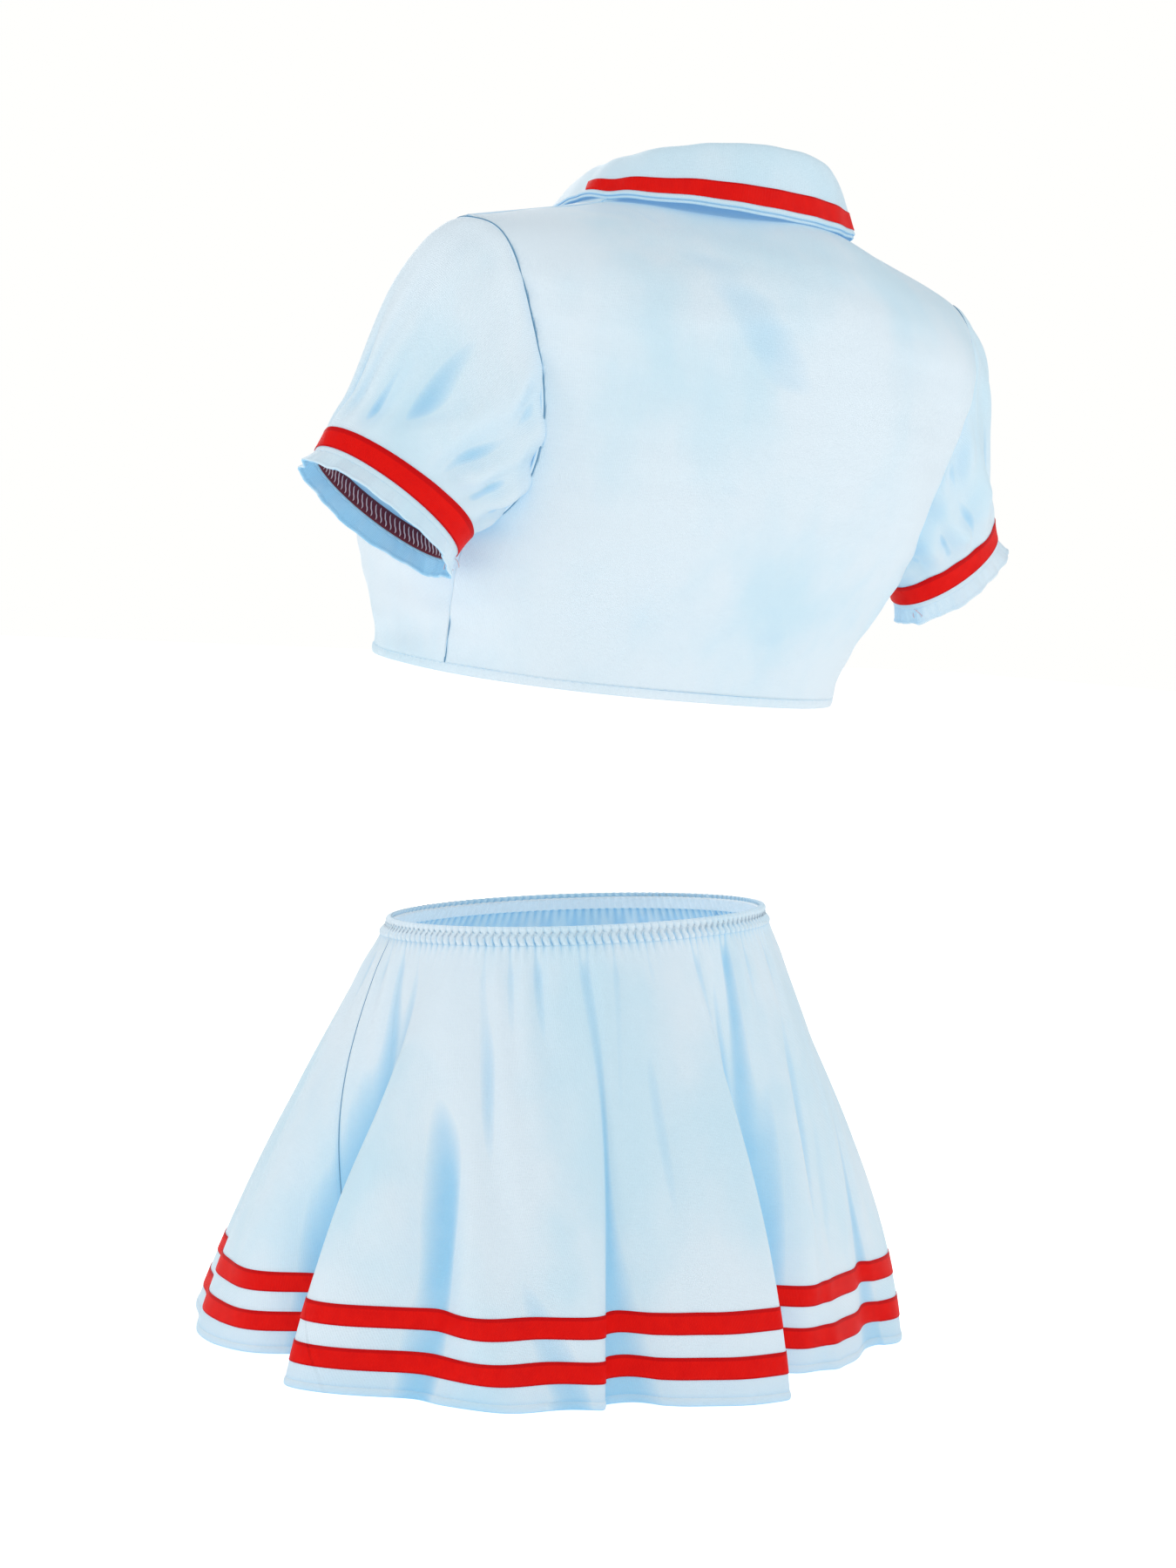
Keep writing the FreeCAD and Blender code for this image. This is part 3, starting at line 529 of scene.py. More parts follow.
def ribbon_material():
    """Red satin ribbon: fine cross ribs, darker woven edges and a red painted glow."""
    tree, shader = new_material("red_ribbon", (0.8, 0.012, 0.01), 0.42)
    feed(shader.inputs["Specular IOR Level"], 0.06)
    # Painted light: a red glow of its own, though the ribbon is no lamp
    add_glow(shader, (1.0, 0.0, 0.0), 0.11)
    along, across = cloth_place(tree)
    streaks = space_noise(tree, 140, 3.0)
    amount = calculate("MULTIPLY_ADD", streaks, 0.8, -0.15)
    body = blend_colours(amount, (0.84, 0.010, 0.006), (0.60, 0.003, 0.006))
    middle = calculate("SUBTRACT", across, RIBBON_HALF_WIDTH)
    edge = smooth_step(calculate("ABSOLUTE", middle), 4.3, 5.2, 0.6)
    feed(shader.inputs["Base Color"], blend_colours(edge, body, (0.42, 0.002, 0.006)))
    add_bump(shader, calculate("MULTIPLY_ADD", streaks, 1.4, ridges(along, 0.8)), 0.0003, 0.6)


def plain_material(name, colour, roughness, pitch, depth, glow):
    """Woven tape, thread or label stock: fine grain with slight colour changes."""
    tree, shader = new_material(name, colour, roughness, 0.1)
    # Painted light: a pale glow of its own, where one is given, though the part is no lamp
    add_glow(shader, (0.85, 0.95, 1.0), glow)
    grain = space_noise(tree, 260, 3.0)
    amount = calculate("MULTIPLY_ADD", grain, 0.7, -0.1)
    feed(shader.inputs["Base Color"], blend_colours(amount, colour, darker(colour, 0.74)))
    add_bump(shader, calculate("ADD", grain, space_noise(tree, 1000 / pitch, 1.0)), depth, 0.7)


def make_materials():
    knit_material("pale_knit", shadow=0.72)
    knit_material("pale_band", shadow=0.3)
    ribbon_material()
    for name, settings in PLAIN_MATERIALS.items():
        plain_material(name, *settings)


# ---- draping

def settle(points, pinned, growth, cap, frames=20):
    """Movement of a coarse ring of cloth that is a little too large, draped by simulation."""
    columns, rows = points.shape[:2]
    index = np.arange(columns * rows).reshape(columns, rows)
    faces = cell_corners(np.concatenate([index, index[:1]])).reshape(-1, 4).tolist()
    mesh = bpy.data.meshes.new("drape")
    mesh.from_pydata((points.reshape(-1, 3) * MM).tolist(), [], faces)
    sheet = bpy.data.objects.new("drape", mesh)
    bpy.context.scene.collection.objects.link(sheet)
    group = sheet.vertex_groups.new(name="pinned")
    for number, weight in enumerate(pinned.ravel()):
        group.add([number], float(weight), "REPLACE")
    modifier = sheet.modifiers.new("cloth", "CLOTH")
    cloth = modifier.settings
    cloth.quality = 5
    cloth.mass = 0.12
    cloth.tension_stiffness = cloth.compression_stiffness = 12
    cloth.shear_stiffness = 4
    cloth.bending_stiffness = 0.08
    cloth.air_damping = 4
    cloth.shrink_min = -growth
    cloth.vertex_group_mass = "pinned"
    modifier.point_cache.frame_start, modifier.point_cache.frame_end = 1, frames
    for number in range(1, frames + 1):
        bpy.context.scene.frame_set(number)
    graph = bpy.context.evaluated_depsgraph_get()
    draped = sheet.evaluated_get(graph).data
    place = np.zeros(columns * rows * 3, np.float32)
    draped.vertices.foreach_get("co", place)
    moved = place.reshape(points.shape).astype(float) / MM - points
    bpy.data.objects.remove(sheet)
    bpy.context.scene.frame_set(1)
    length = np.linalg.norm(moved, axis=-1, keepdims=True)
    return moved * np.minimum(1, cap / np.maximum(length, 1e-6))


def soften(moved, rounds):
    """Evens out the smallest crumples of a ring of movements, leaving its wider folds."""
    for _ in range(rounds):
        moved = (np.roll(moved, 1, 0) + 2 * moved + np.roll(moved, -1, 0)) / 4
        moved[:, 1:-1] = (moved[:, :-2] + 2 * moved[:, 1:-1] + moved[:, 2:]) / 4
    return moved


def refine(coarse, columns, rows):
    """Smoothly enlarges a coarse ring of movements to a finer grid."""
    coarse = np.concatenate([coarse, coarse[:1]])
    u = np.linspace(0, len(coarse) - 1, columns + 1)[:columns]
    v = np.linspace(0, coarse.shape[1] - 1, rows)
    return cubic(cubic(coarse, u, 0), v, 1)


def cubic(values, at, axis):
    """Values between grid lines along one axis, by a cubic through four neighbours."""
    values = np.moveaxis(values, axis, 0)
    last = len(values) - 1
    low = np.clip(at.astype(int), 0, last - 1)
    t = (at - low).reshape(-1, *([1] * (values.ndim - 1)))
    p = [values[np.clip(low + k, 0, last)] for k in (-1, 0, 1, 2)]
    mixed = 0.5 * (2 * p[1] + (p[2] - p[0]) * t + (2 * p[0] - 5 * p[1] + 4 * p[2] - p[3]) * t ** 2
                   + (3 * p[1] - p[0] - 3 * p[2] + p[3]) * t ** 3)
    return np.moveaxis(mixed, 0, axis)


# ---- skirt

def angle_from(turn, middle):
    """Signed angle from a middle, at most half a turn, in radians."""
    return (turn - middle + math.pi) % TURN - math.pi


def skirt_folds(turn, drop):
    """Outward and sideways movement of the skirt's folds, in millimetres."""
    outward = np.zeros_like(turn)
    sideways = np.zeros_like(turn)
    for degrees, depth, width, start, lap in SKIRT_FOLDS:
        x = angle_from(turn, math.radians(degrees)) / math.radians(width)
        grown = np.sin(np.clip((drop - start) / (1 - start), 0, 1) * QUARTER) ** FOLD_GROWTH
        outward -= depth * FOLD_PEAK * x * np.exp(-x * x / FOLD_BREADTH) * grown
        sideways -= lap * math.radians(width) * LAP_RADIUS * x * np.exp(-x * x / 2) * grown
    return outward, sideways


def skirt_ripples(thread, height, fallen):
    """Outward movement of the gathers, pleats, ripples and side seams, in millimetres."""
    below = SKIRT_HEIGHT - CASING_HEIGHT - height
    (soft, soft_waves, soft_seed), (fine, fine_waves, fine_seed) = RING_RIPPLES
    depth, pleat_waves, seed = PLEATS
    push = soft * ring_waves(thread, soft_waves, soft_seed) * ease(0.05, 0.6, fallen)
    push += fine * ring_waves(thread, fine_waves, fine_seed) * ease(0.1, 0.4, fallen) * ease(1.0, 0.5, fallen)
    push += 0.3 * np.sin(9 * fallen + 3 * np.sin(7 * thread)) * ease(0.05, 0.3, fallen)
    push += GATHER_DEPTH * np.sin(GATHERS * thread) * np.exp(-np.maximum(below, 0) / GATHER_FADE)
    fade = np.exp(-np.maximum(below, 0) / PLEAT_FADE)
    push += depth * ring_waves(thread, pleat_waves, seed) * fade * ease(-3, 20, below)
    return push + seam_dip(thread)


def skirt_points(thread, height):
    """Skirt cloth with folds and gathers, by turn at the waist and height over the hem."""
    drop = 1 - height / SKIRT_HEIGHT
    fallen = np.maximum(drop, 0)
    turn = thread + SEAM_SLANT * drop * np.cos(thread)
    flare = mix(drop, np.sin(drop * QUARTER), HIP_ROUNDING)
    half_width = mix(WAIST_HALF[0], HEM_HALF[0], flare)
    half_depth = mix(WAIST_HALF[1], HEM_HALF[1], flare)
    push, slide = skirt_folds(turn, fallen)
    push += skirt_ripples(thread, height, fallen)
    where = turn + slide / (half_width + half_depth) * 2
    out = unit(points_of(np.cos(where) / half_width, np.sin(where) / half_depth, 0))
    x = half_width * np.cos(where) + out[..., 0] * push
    y = half_depth * np.sin(where) + out[..., 1] * push + HEM_SHIFT_Y * drop
    middle, spread, most = HEM_LIFT
    raised = most * np.exp(-(angle_from(where, middle) / spread) ** 2)
    lift = (0.28 * np.maximum(-push, 0) + raised) * fallen ** 3
    z = (SKIRT_HEIGHT + WAIST_SLOPE[0] * x + WAIST_SLOPE[1] * y) * (1 - drop) + lift
    return points_of(x, y, z)


def seam_dip(thread):
    """Dent along the side seams, where the cloth is pulled in."""
    depth, width = SEAM_DENT
    return -depth * sum(np.exp(-(angle_from(thread, seam) / width) ** 2) for seam in SKIRT_SEAMS)


def skirt_grid(low, high, rows):
    """Whole ring of skirt cloth between two heights."""
    return skirt_points(*ring_grid((low, high), SKIRT_COLUMNS, rows))


def both(name):
    """Names of the back and front CAD nodes of a part."""
    return name + "_back", name + "_front"


def make_skirt():
    casing_low = SKIRT_HEIGHT - CASING_HEIGHT
    points = skirt_grid(SKIRT_HEM, casing_low + 1, 84)
    make_piece("skirt_cloth", points, KNIT_LAYER, both("skirt_panel"), ring=True)
    bulge = np.sin(np.linspace(0.12, 0.88, 6) * math.pi)[None] * 0.65 + 0.4
    points = skirt_grid(0.6, SKIRT_HEM + 0.6, 6)
    make_piece("skirt_rolled_hem", points, (-bulge, bulge), both("skirt_hem"), ring=True)
    for name, low in STRIPE_LOWS.items():
        make_piece("skirt_stripe_" + name, skirt_grid(low, low + STRIPE_WIDTH, 8), SKIRT_RIBBON_LAYER,
                   both(name + "_stripe"), "red_ribbon", ring=True)
    make_waist(casing_low)
    make_skirt_seams(casing_low)


def make_waist(casing_low):
    """Gathered casing with its lip, the zig-zag thread over it and the elastic inside."""
    turn, height = ring_grid((casing_low, SKIRT_HEIGHT), SKIRT_COLUMNS, 15)
    rise = height - casing_low
    below = SKIRT_HEIGHT - height
    ribs = np.sin(GATHERS * turn + rise * 0.55) * ease(-0.5, 1.5, rise) * ease(2.0, 3.5, below)
    lip = np.exp(-((1.3 - below) / 1.2) ** 2)
    swell = 0.25 + 0.45 * ease(0, 2.5, rise)
    points = skirt_points(turn, height)
    out = normals(points, True)
    points = points + out * (swell + 1.15 * ribs + 0.3 * lip)[..., None]
    make_piece("waist_casing", points, (-0.7 - 0.5 * lip, 0.4 + 0.4 * lip), both("waist_casing"),
               "pale_band", ring=True, tint=0.5)
    make_cord("waist_zigzag", [zigzag_line(points + out * 0.6)], 0.26, "pale_thread", closed=True)
    turn, height = ring_grid((casing_low + 1.5, casing_low + 8.5), SKIRT_COLUMNS, 9)
    puffs = 0.35 * np.abs(np.sin(GATHERS / 2 * turn))
    make_piece("waist_elastic", skirt_points(turn, height), (-2.3 - puffs, -1.0 - puffs),
               both("waist_elastic"), "white_elastic", ring=True)


def zigzag_line(points):
    """Thread that runs up and down the casing once for each gather."""
    pitch = SKIRT_COLUMNS // GATHERS
    starts = range(0, SKIRT_COLUMNS, pitch)
    return [points[stop] for i in starts for stop in ((i, 1), (i + pitch // 2, 10))]


def make_skirt_seams(casing_low):
    """Dark line of painted shade down each side seam, with its overlocked allowance inside."""
    for side, seam, span in (("left", SKIRT_SEAMS[0], (0.5, 6.0)), ("right", SKIRT_SEAMS[1], (-6.0, -0.5))):
        across, height = grid(span, (6, casing_low - 2), 7, 80)
        reach = mix(HEM_HALF[0], WAIST_HALF[0], height / SKIRT_HEIGHT)
        make_piece("skirt_seam_inside_" + side, skirt_points(seam + across / reach, height), SEAM_LAYER,
                   ["skirt_seam_" + side])
        height = np.linspace(SKIRT_HEM, casing_low, 120)
        turn = np.full_like(height, seam)
        line = skirt_points(turn, height)
        out = unit(np.cross(skirt_points(turn + 0.004, height) - line, np.gradient(line, axis=0)))
        # Painted shade: a dark blue cord where the seam's dent lies in shadow
        make_cord("skirt_seam_line_" + side, [line + out * 0.45], 0.42, "seam_shade")


def make_care_tag():
    """Blank care label hanging from the inside of the waist."""
    turn = SKIRT_SEAMS[0] + math.radians(16)
    high = SKIRT_HEIGHT - CASING_HEIGHT - 3
    across, height = grid((0, 20), (high - 34, high), 14, 18)
    curl = points_of(0, 0.4 * np.sin(across * 0.4) * (high - height) / 8, 0)
    points = skirt_points(turn + across / WAIST_HALF[0], height) - curl
    make_piece("care_tag", points, CARE_TAG_LAYER, ["care_label"], "label_stock")


# ---- body of the top

def lean_matrix():
    return np.array(Matrix.Rotation(-LEAN_RIGHT, 3, "Y") @ Matrix.Rotation(-LEAN_BACK, 3, "X"))


LEAN = lean_matrix()


def stand(points):
    """From the top's own frame to the row's frame."""
    return points @ LEAN.T + np.array(TOP_ORIGIN)


def stand_mirrored(points):
    """The same for the wearer's right side, from points of the left, with u still running the same way."""
    return stand(points[::-1] * np.array((-1, 1, 1)))


SIDES = {"left": stand, "right": stand_mirrored}


def shoulder_height(x):
    return SHOULDER_TIP[1] + SHOULDER_SLOPE * (SHOULDER_TIP[0] - np.hypot(x, 20))


def body_depth(height, sine):
    return np.where(sine > 0, between(height, BACK_DEPTH), between(height, FRONT_DEPTH))


def section_arc(share):
    """How far the rounded-box section still reaches one way, at a share of its reach the other way."""
    return (1 - share ** SECTION_POWER) ** (1 / SECTION_POWER)


def body_points(turn, height, narrowing=1.0):
    """Rounded-box section of the body at a height."""
    cosine, sine = np.cos(turn), np.sin(turn)
    reach = (np.abs(cosine) ** SECTION_POWER + np.abs(sine) ** SECTION_POWER) ** (-1 / SECTION_POWER)
    x = between(height, HALF_WIDTH) * reach * cosine
    y = between(height, MIDDLE_Y) + body_depth(height, sine) * reach * sine * narrowing
    return points_of(x, y, height)


def panel_points(turn, rise):
    """Body by rise: 0 at the hem, 1 at the shoulder seam, where the panels round over."""
    height = 200 * rise
    lean = np.clip((rise - ROLL_START) / (1 - ROLL_START), 0, 1) * QUARTER
    for _ in range(8):
        seam = shoulder_height(body_points(turn, height)[..., 0])
        low = (seam - SHOULDER_ROLL) * rise / ROLL_START
        height = np.where(rise < ROLL_START, low, seam - SHOULDER_ROLL * (1 - np.sin(lean)))
    return body_points(turn, height, np.cos(lean))


def rounding(x, height):
    below = np.clip(shoulder_height(x) - height, 0, SHOULDER_ROLL)
    return np.sqrt(np.maximum(1 - (1 - below / SHOULDER_ROLL) ** 2, 0))


def body_top(x, y):
    """The body's upper surface over a plan point near the shoulders."""
    height = shoulder_height(x)
    for _ in range(6):
        offset = y - between(height, MIDDLE_Y)
        across = np.minimum(np.abs(x) / between(height, HALF_WIDTH), 0.99)
        depth = body_depth(height, offset) * section_arc(across)
        lean = np.minimum(np.abs(offset) / depth, 0.999)
        height = shoulder_height(x) - SHOULDER_ROLL * (1 - np.sqrt(1 - lean * lean))
    return points_of(x, y, height)


def front_depth(x, height):
    across = np.minimum(np.abs(x) / between(height, HALF_WIDTH), 1)
    return body_depth(height, -1) * section_arc(across)


def body_front(x, lean, clear=0.0):
    """The front surface, or a distance clear of it, by how far it has leaned over since the shoulder."""
    over = np.minimum(lean, QUARTER)
    height = shoulder_height(x) - SHOULDER_ROLL * (1 - np.cos(over) + lean - over)
    y = between(height, MIDDLE_Y) - (front_depth(x, height) + clear) * np.sin(over)
    return points_of(x, y, height + np.cos(over) * clear)


def lean_at(x, y, height):
    """How far the front surface has leaned over at a point on it or just above it."""
    return float(np.arcsin((between(height, MIDDLE_Y) - y) / front_depth(x, height)))


def body_side(y, height):
    """The left side's surface at a place along and up the body."""
    x = between(height, HALF_WIDTH)
    for _ in range(30):
        offset = y - between(height, MIDDLE_Y)
        depth = body_depth(height, offset) * np.maximum(rounding(x, height), 0.02)
        lean = np.minimum(np.abs(offset) / depth, 0.999)
        x = mix(x, between(height, HALF_WIDTH) * section_arc(lean), 0.35)
    return points_of(x, y, height)


def armhole_points(turn):
    """Armhole line: turn 0 at the shoulder, a quarter at the back, half under the arm."""
    return body_side(ARMHOLE_MIDDLE[0] + ARMHOLE_HALF[0] * np.sin(turn),
                     ARMHOLE_MIDDLE[1] + ARMHOLE_HALF[1] * np.cos(turn))


def armhole_tip():
    """How far out the armhole's line starts at the shoulder."""
    return float(armhole_points(np.array(0.0))[0])


def shoulder_line_y():
    return float(between(SHOULDER_TIP[1], MIDDLE_Y))


def neck_middle():
    return shoulder_line_y() - NECK_FORWARD


def neck_side():
    """The point on the left shoulder where the back scoop of the neck meets the front V."""
    return body_top(np.array(NECK_HALF_WIDTH), np.array(neck_middle()))


def outside_openings(points):
    """Positive on the cloth, negative inside the armholes and the neck, in millimetres."""
    x, y, z = points[..., 0], points[..., 1], points[..., 2]
    arm_y = (y - ARMHOLE_MIDDLE[0]) / ARMHOLE_HALF[0]
    arm_z = (z - ARMHOLE_MIDDLE[1]) / ARMHOLE_HALF[1]
    arm = (np.hypot(arm_y, arm_z) - 1) * ARMHOLE_HALF[0]
    arm = np.where(np.abs(x) > 90, arm, FAR_AWAY)
    arm = np.minimum(arm, np.where(z > ARMHOLE_MIDDLE[1] + 55, armhole_tip() - np.abs(x), FAR_AWAY))
    side = float(neck_side()[2])
    scoop = (np.hypot(x / NECK_HALF_WIDTH, (y - neck_middle()) / NECK_BACK_DEPTH) - 1) * NECK_BACK_DEPTH
    notch = (side - NECK_V_DROP * (1 - np.abs(x) / NECK_HALF_WIDTH) - z) * 0.55
    neck = np.where(y > neck_middle(), scoop, notch)
    neck = np.where(z > side - NECK_V_DROP - 30, neck, FAR_AWAY)
    return np.minimum(arm, neck)


def body_cloth(turn, rise, seed):
    """Body with the soft drags and ripples of an empty knit top."""
    points = panel_points(turn, rise)
    out = normals(points)
    z = points[..., 2]
    hang = 1.5 * waves(turn * 150, z, 6, (0.02, 0.07), (-0.012, 0.012), seed)
    drag = 1.1 * waves(turn * 150, z, 5, (0.03, 0.08), (0.03, 0.08), seed + 1)
    ripple = 0.3 * waves(turn * 150, z, 11, (-0.06, 0.06), (0.1, 0.42), seed + 2)
    still = ease(0, 30, outside_openings(points)) * ease(0, 25, z)
    return points + out * (((hang + drag) * still + ripple) * ease(0, 10, z + 2))[..., None]


def trim(points):
    """The panel's points with its cut borders moved onto their lines, and which grid cells are cloth."""
    value = outside_openings(points)
    along_u, along_v = np.gradient(points, axis=0), np.gradient(points, axis=1)
    slope_u, slope_v = np.gradient(value, axis=0), np.gradient(value, axis=1)
    steep = np.maximum(slope_u ** 2 + slope_v ** 2, 1e-6)
    step = (value / steep)[..., None]
    moved = points - step * (along_u * slope_u[..., None] + along_v * slope_v[..., None])
    kept = cell_corners(value > 0).sum(-1) >= 3
    near = (value <= 0) & (value > -4)
    return np.where(near[..., None], moved, points), kept


def make_panel(name, half, seed):
    """Trimmed front or back panel of the top as a closed cloth."""
    first = ROLL_START * (TOP_HEM - 0.5) / (SHOULDER_TIP[1] - SHOULDER_ROLL)
    turn, rise = grid(half, (first, 0.999), 300, 190)
    points, kept = trim(body_cloth(turn, rise, seed))
    columns, rows = turn.shape
    index = np.arange(columns * rows).reshape(columns, rows)
    quads = cell_corners(index)[kept]
    used = np.unique(quads)
    renumber = np.zeros(columns * rows, int)
    renumber[used] = np.arange(len(used))
    placed = stand(points)
    piece = add_mesh("top_cloth_" + name, placed.reshape(-1, 3)[used], renumber[quads].tolist(), "pale_knit")
    valley = fold_shade(placed, normals(placed), False)
    add_values(piece, cloth_lengths(placed).reshape(-1, 2)[used], valley.ravel()[used])
    thicken(piece, KNIT_LAYER[1] - KNIT_LAYER[0])
    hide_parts("top_panel_" + name)


def thicken(piece, thickness):
    """Gives an open mesh an even thickness, with the modifier applied."""
    modifier = piece.modifiers.new("thickness", "SOLIDIFY")
    modifier.thickness = thickness * MM
    modifier.offset = 0
    graph = bpy.context.evaluated_depsgraph_get()
    mesh = bpy.data.meshes.new_from_object(piece.evaluated_get(graph))
    piece.modifiers.clear()
    piece.data = mesh


def make_body():
    """Panels, hem, seams and armhole edges of the top."""
    left, right = TOP_SEAM, math.pi - TOP_SEAM
    make_panel("back", (left, right), 21)
    make_panel("front", (right, left + TURN), 31)
    turn, height = ring_grid((0, TOP_HEM), 800, 7)
    points = body_points(turn, height)
    points = points + normals(points, True) * (0.25 * np.sin(170 * turn) * height / TOP_HEM)[..., None]
    bulge = 0.55 + 0.35 * np.sin(height / TOP_HEM * math.pi)
    make_piece("top_rolled_hem", stand(points), (-bulge, bulge), both("top_hem"), ring=True)
    for side, seam in (("left", left), ("right", right)):
        make_top_seam(side, seam)
    make_armhole_edges()
    make_shoulder_seams()


def make_top_seam(side, seam):
    """Allowance inside a side seam of the top, and a dark line of painted shade along the seam outside."""
    high = ARMHOLE_MIDDLE[1] - ARMHOLE_HALF[1]
    across, height = grid((-3, 3), (TOP_HEM + 1, high - 6), 7, 50)
    points = stand(body_points(seam + across / HALF_WIDTH[0][1], height))
    make_piece("top_seam_inside_" + side, points, SEAM_LAYER, ["top_seam_" + side])
    height = np.linspace(TOP_HEM, high, 60)
    line = body_points(np.full(60, seam), height)
    line = line + unit(line * np.array((1, 1, 0))) * (0.35 + 0.2 * np.sin(height / 3.1)[:, None])
    # Painted shade: a dark blue cord where the seam lies in shadow
    make_cord("top_seam_line_" + side, [stand(line)], 0.5, "seam_shade")


def make_armhole_edges():
    """Raised armhole seam outside, with a dark line of painted shade in the groove beside it, and its
    allowance inside, on both sides.
    """
    columns = 240
    turn = np.linspace(0, TURN, columns, endpoint=False)
    line = armhole_points(turn)
    inward = points_of(0, -np.sin(turn), -np.cos(turn))
    sweep, inset = ring_grid((1.0, 4.0), columns, 5)
    flap = armhole_points(sweep) - points_of(1.0, inset * np.sin(sweep), inset * np.cos(sweep))
    groove = line - inward * 0.9 + np.array((0.35, 0, 0))
    rim = line + inward * 0.4 + np.array((0.5, 0, 0))
    for side, place in SIDES.items():
        # Painted shade: a dark blue cord in the groove beside the piping, where it lies in shadow
        make_cord("armhole_seam_line_" + side, [place(groove)], 0.4, "seam_shade", closed=True)
        make_cord("armhole_piping_" + side, [place(rim)], 1.15, "pale_knit", closed=True, sides=10)
        make_piece("armhole_seam_inside_" + side, place(flap[::-1]), ALLOWANCE_LAYER,
                   ["armhole_seam_" + side], ring=True)


def make_shoulder_seams():
    """Seam ridge along each shoulder, with the stay tape under it."""
    tip = armhole_tip()
    middle = shoulder_line_y()
    across, along = grid((middle + 3, middle - 3), (NECK_HALF_WIDTH + 10, tip - 6), 5, 40)
    under = body_top(along, across)
    line = body_top(np.linspace(NECK_HALF_WIDTH, tip, 60), np.full(60, middle)) + np.array((0, 0, 0.3))
    for side, place in SIDES.items():
        make_piece("shoulder_stay_" + side, place(under), SHOULDER_TAPE_LAYER,
                   ["shoulder_tape_" + side], "white_tape")
        make_cord("shoulder_ridge_" + side, [place(line)], 0.5, "pale_knit")


# ---- sleeves

def cuff_axes():
    """Unit vectors of the cuff's oval: outwards, backwards, and out of the opening."""
    tilt, yaw, nod = (math.radians(a) for a in (CUFF_TILT, CUFF_YAW, CUFF_NOD))
    out = Vector((math.cos(tilt) * math.cos(yaw), math.cos(tilt) * math.sin(yaw), math.sin(tilt)))
    back = Vector((-math.sin(yaw) * math.cos(nod), math.cos(yaw) * math.cos(nod), math.sin(nod)))
    back = (back - out * back.dot(out)).normalized()
    return np.array(out), np.array(back), np.array(back.cross(out))


CUFF_OUT, CUFF_BACK, CUFF_DOWN = cuff_axes()


def cuff_spoke(turn):
    return (CUFF_OUT * CUFF_HALF[0] * np.cos(turn)[..., None]
            + CUFF_BACK * CUFF_HALF[1] * np.sin(turn)[..., None])


def sleeve_pull(turn):
    """The sleeve is long over the shoulder and short under the arm."""
    return 0.35 + (1 + np.cos(turn)) / 2


def sleeve_points(turn, rise):
    """Left sleeve without folds: rise 0 at the cuff line, 1 at the armhole."""
    over = (1 + np.cos(turn)) / 2
    pull = sleeve_pull(turn)
    leave = points_of(0.7, 0.25 * np.sin(turn), 0.4 * over - 0.1) * (SLEEVE_START_PULL * pull)[..., None]
    arrive = CUFF_DOWN * (SLEEVE_END_PULL * pull)[..., None]
    puff = SLEEVE_PUFF * (6.75 * over * over * (1 - rise) * rise * rise)[..., None]
    cuff = CUFF_MIDDLE + cuff_spoke(turn)
    return hermite(armhole_points(turn), leave, cuff, arrive, (1 - rise)[..., None]) + puff


def sleeve_grid(v_span, columns, rows):
    return ring_grid(v_span, columns, rows, start=-math.pi)


def sleeve_reach(turn, rise):
    """Distance above the cuff line."""
    return rise * SLEEVE_END_PULL * sleeve_pull(turn)


def sleeve_drape():
    """How the left sleeve's fullness settles, on a coarse grid from the cuff line to the armhole."""
    turn, rise = sleeve_grid((0.0, 1.0), 150, 34)
    pinned = np.maximum(ease(22, 14, sleeve_reach(turn, rise)), ease(0.93, 0.98, rise))
    return soften(settle(sleeve_points(turn, rise), pinned, growth=0.06, cap=5.0), 3)


def sleeve_cloth(turn, rise):
    """Left sleeve with pleats from both gathered ends."""
    points = sleeve_points(turn, rise)
    reach = sleeve_reach(turn, rise)
    free = ease(4, 34, reach) * ease(1.0, 0.72, rise)
    above_cuff = ease(10, 24, reach) * np.exp(-np.maximum(reach - 24, 0) / 45)
    push = 1.5 * ring_waves(turn, (5, 7, 9), 41) * free
    push += 2.6 * ring_waves(turn, (12, 14, 17), 43) * above_cuff
    push += 0.45 * waves(turn, rise, 7, (-9, 9), (9, 26), 45) * free
    return points + normals(points, True) * push[..., None]


def sleeve_band(low, high, columns, rows):
    """Whole ring of the sleeve between two distances above the cuff line."""
    turn, height = sleeve_grid((low, high), columns, rows)
    return sleeve_cloth(turn, height / (SLEEVE_END_PULL * sleeve_pull(turn)))


def frill_points(fall, turn):
    """Frill below the cuff line: fall 0 at the line and 1 at its wavy edge."""
    spoke = cuff_spoke(turn)
    wave = np.sin(7 * turn + 1.5 * np.sin(2 * turn)) + 0.5 * np.sin(17 * turn + 1.0)
    flare = (2.5 + 1.4 * wave) * fall + 0.15 * np.sin(44 * turn)
    return CUFF_MIDDLE + spoke + unit(spoke) * flare[..., None] + CUFF_DOWN * (FRILL_LENGTH * fall)[..., None]


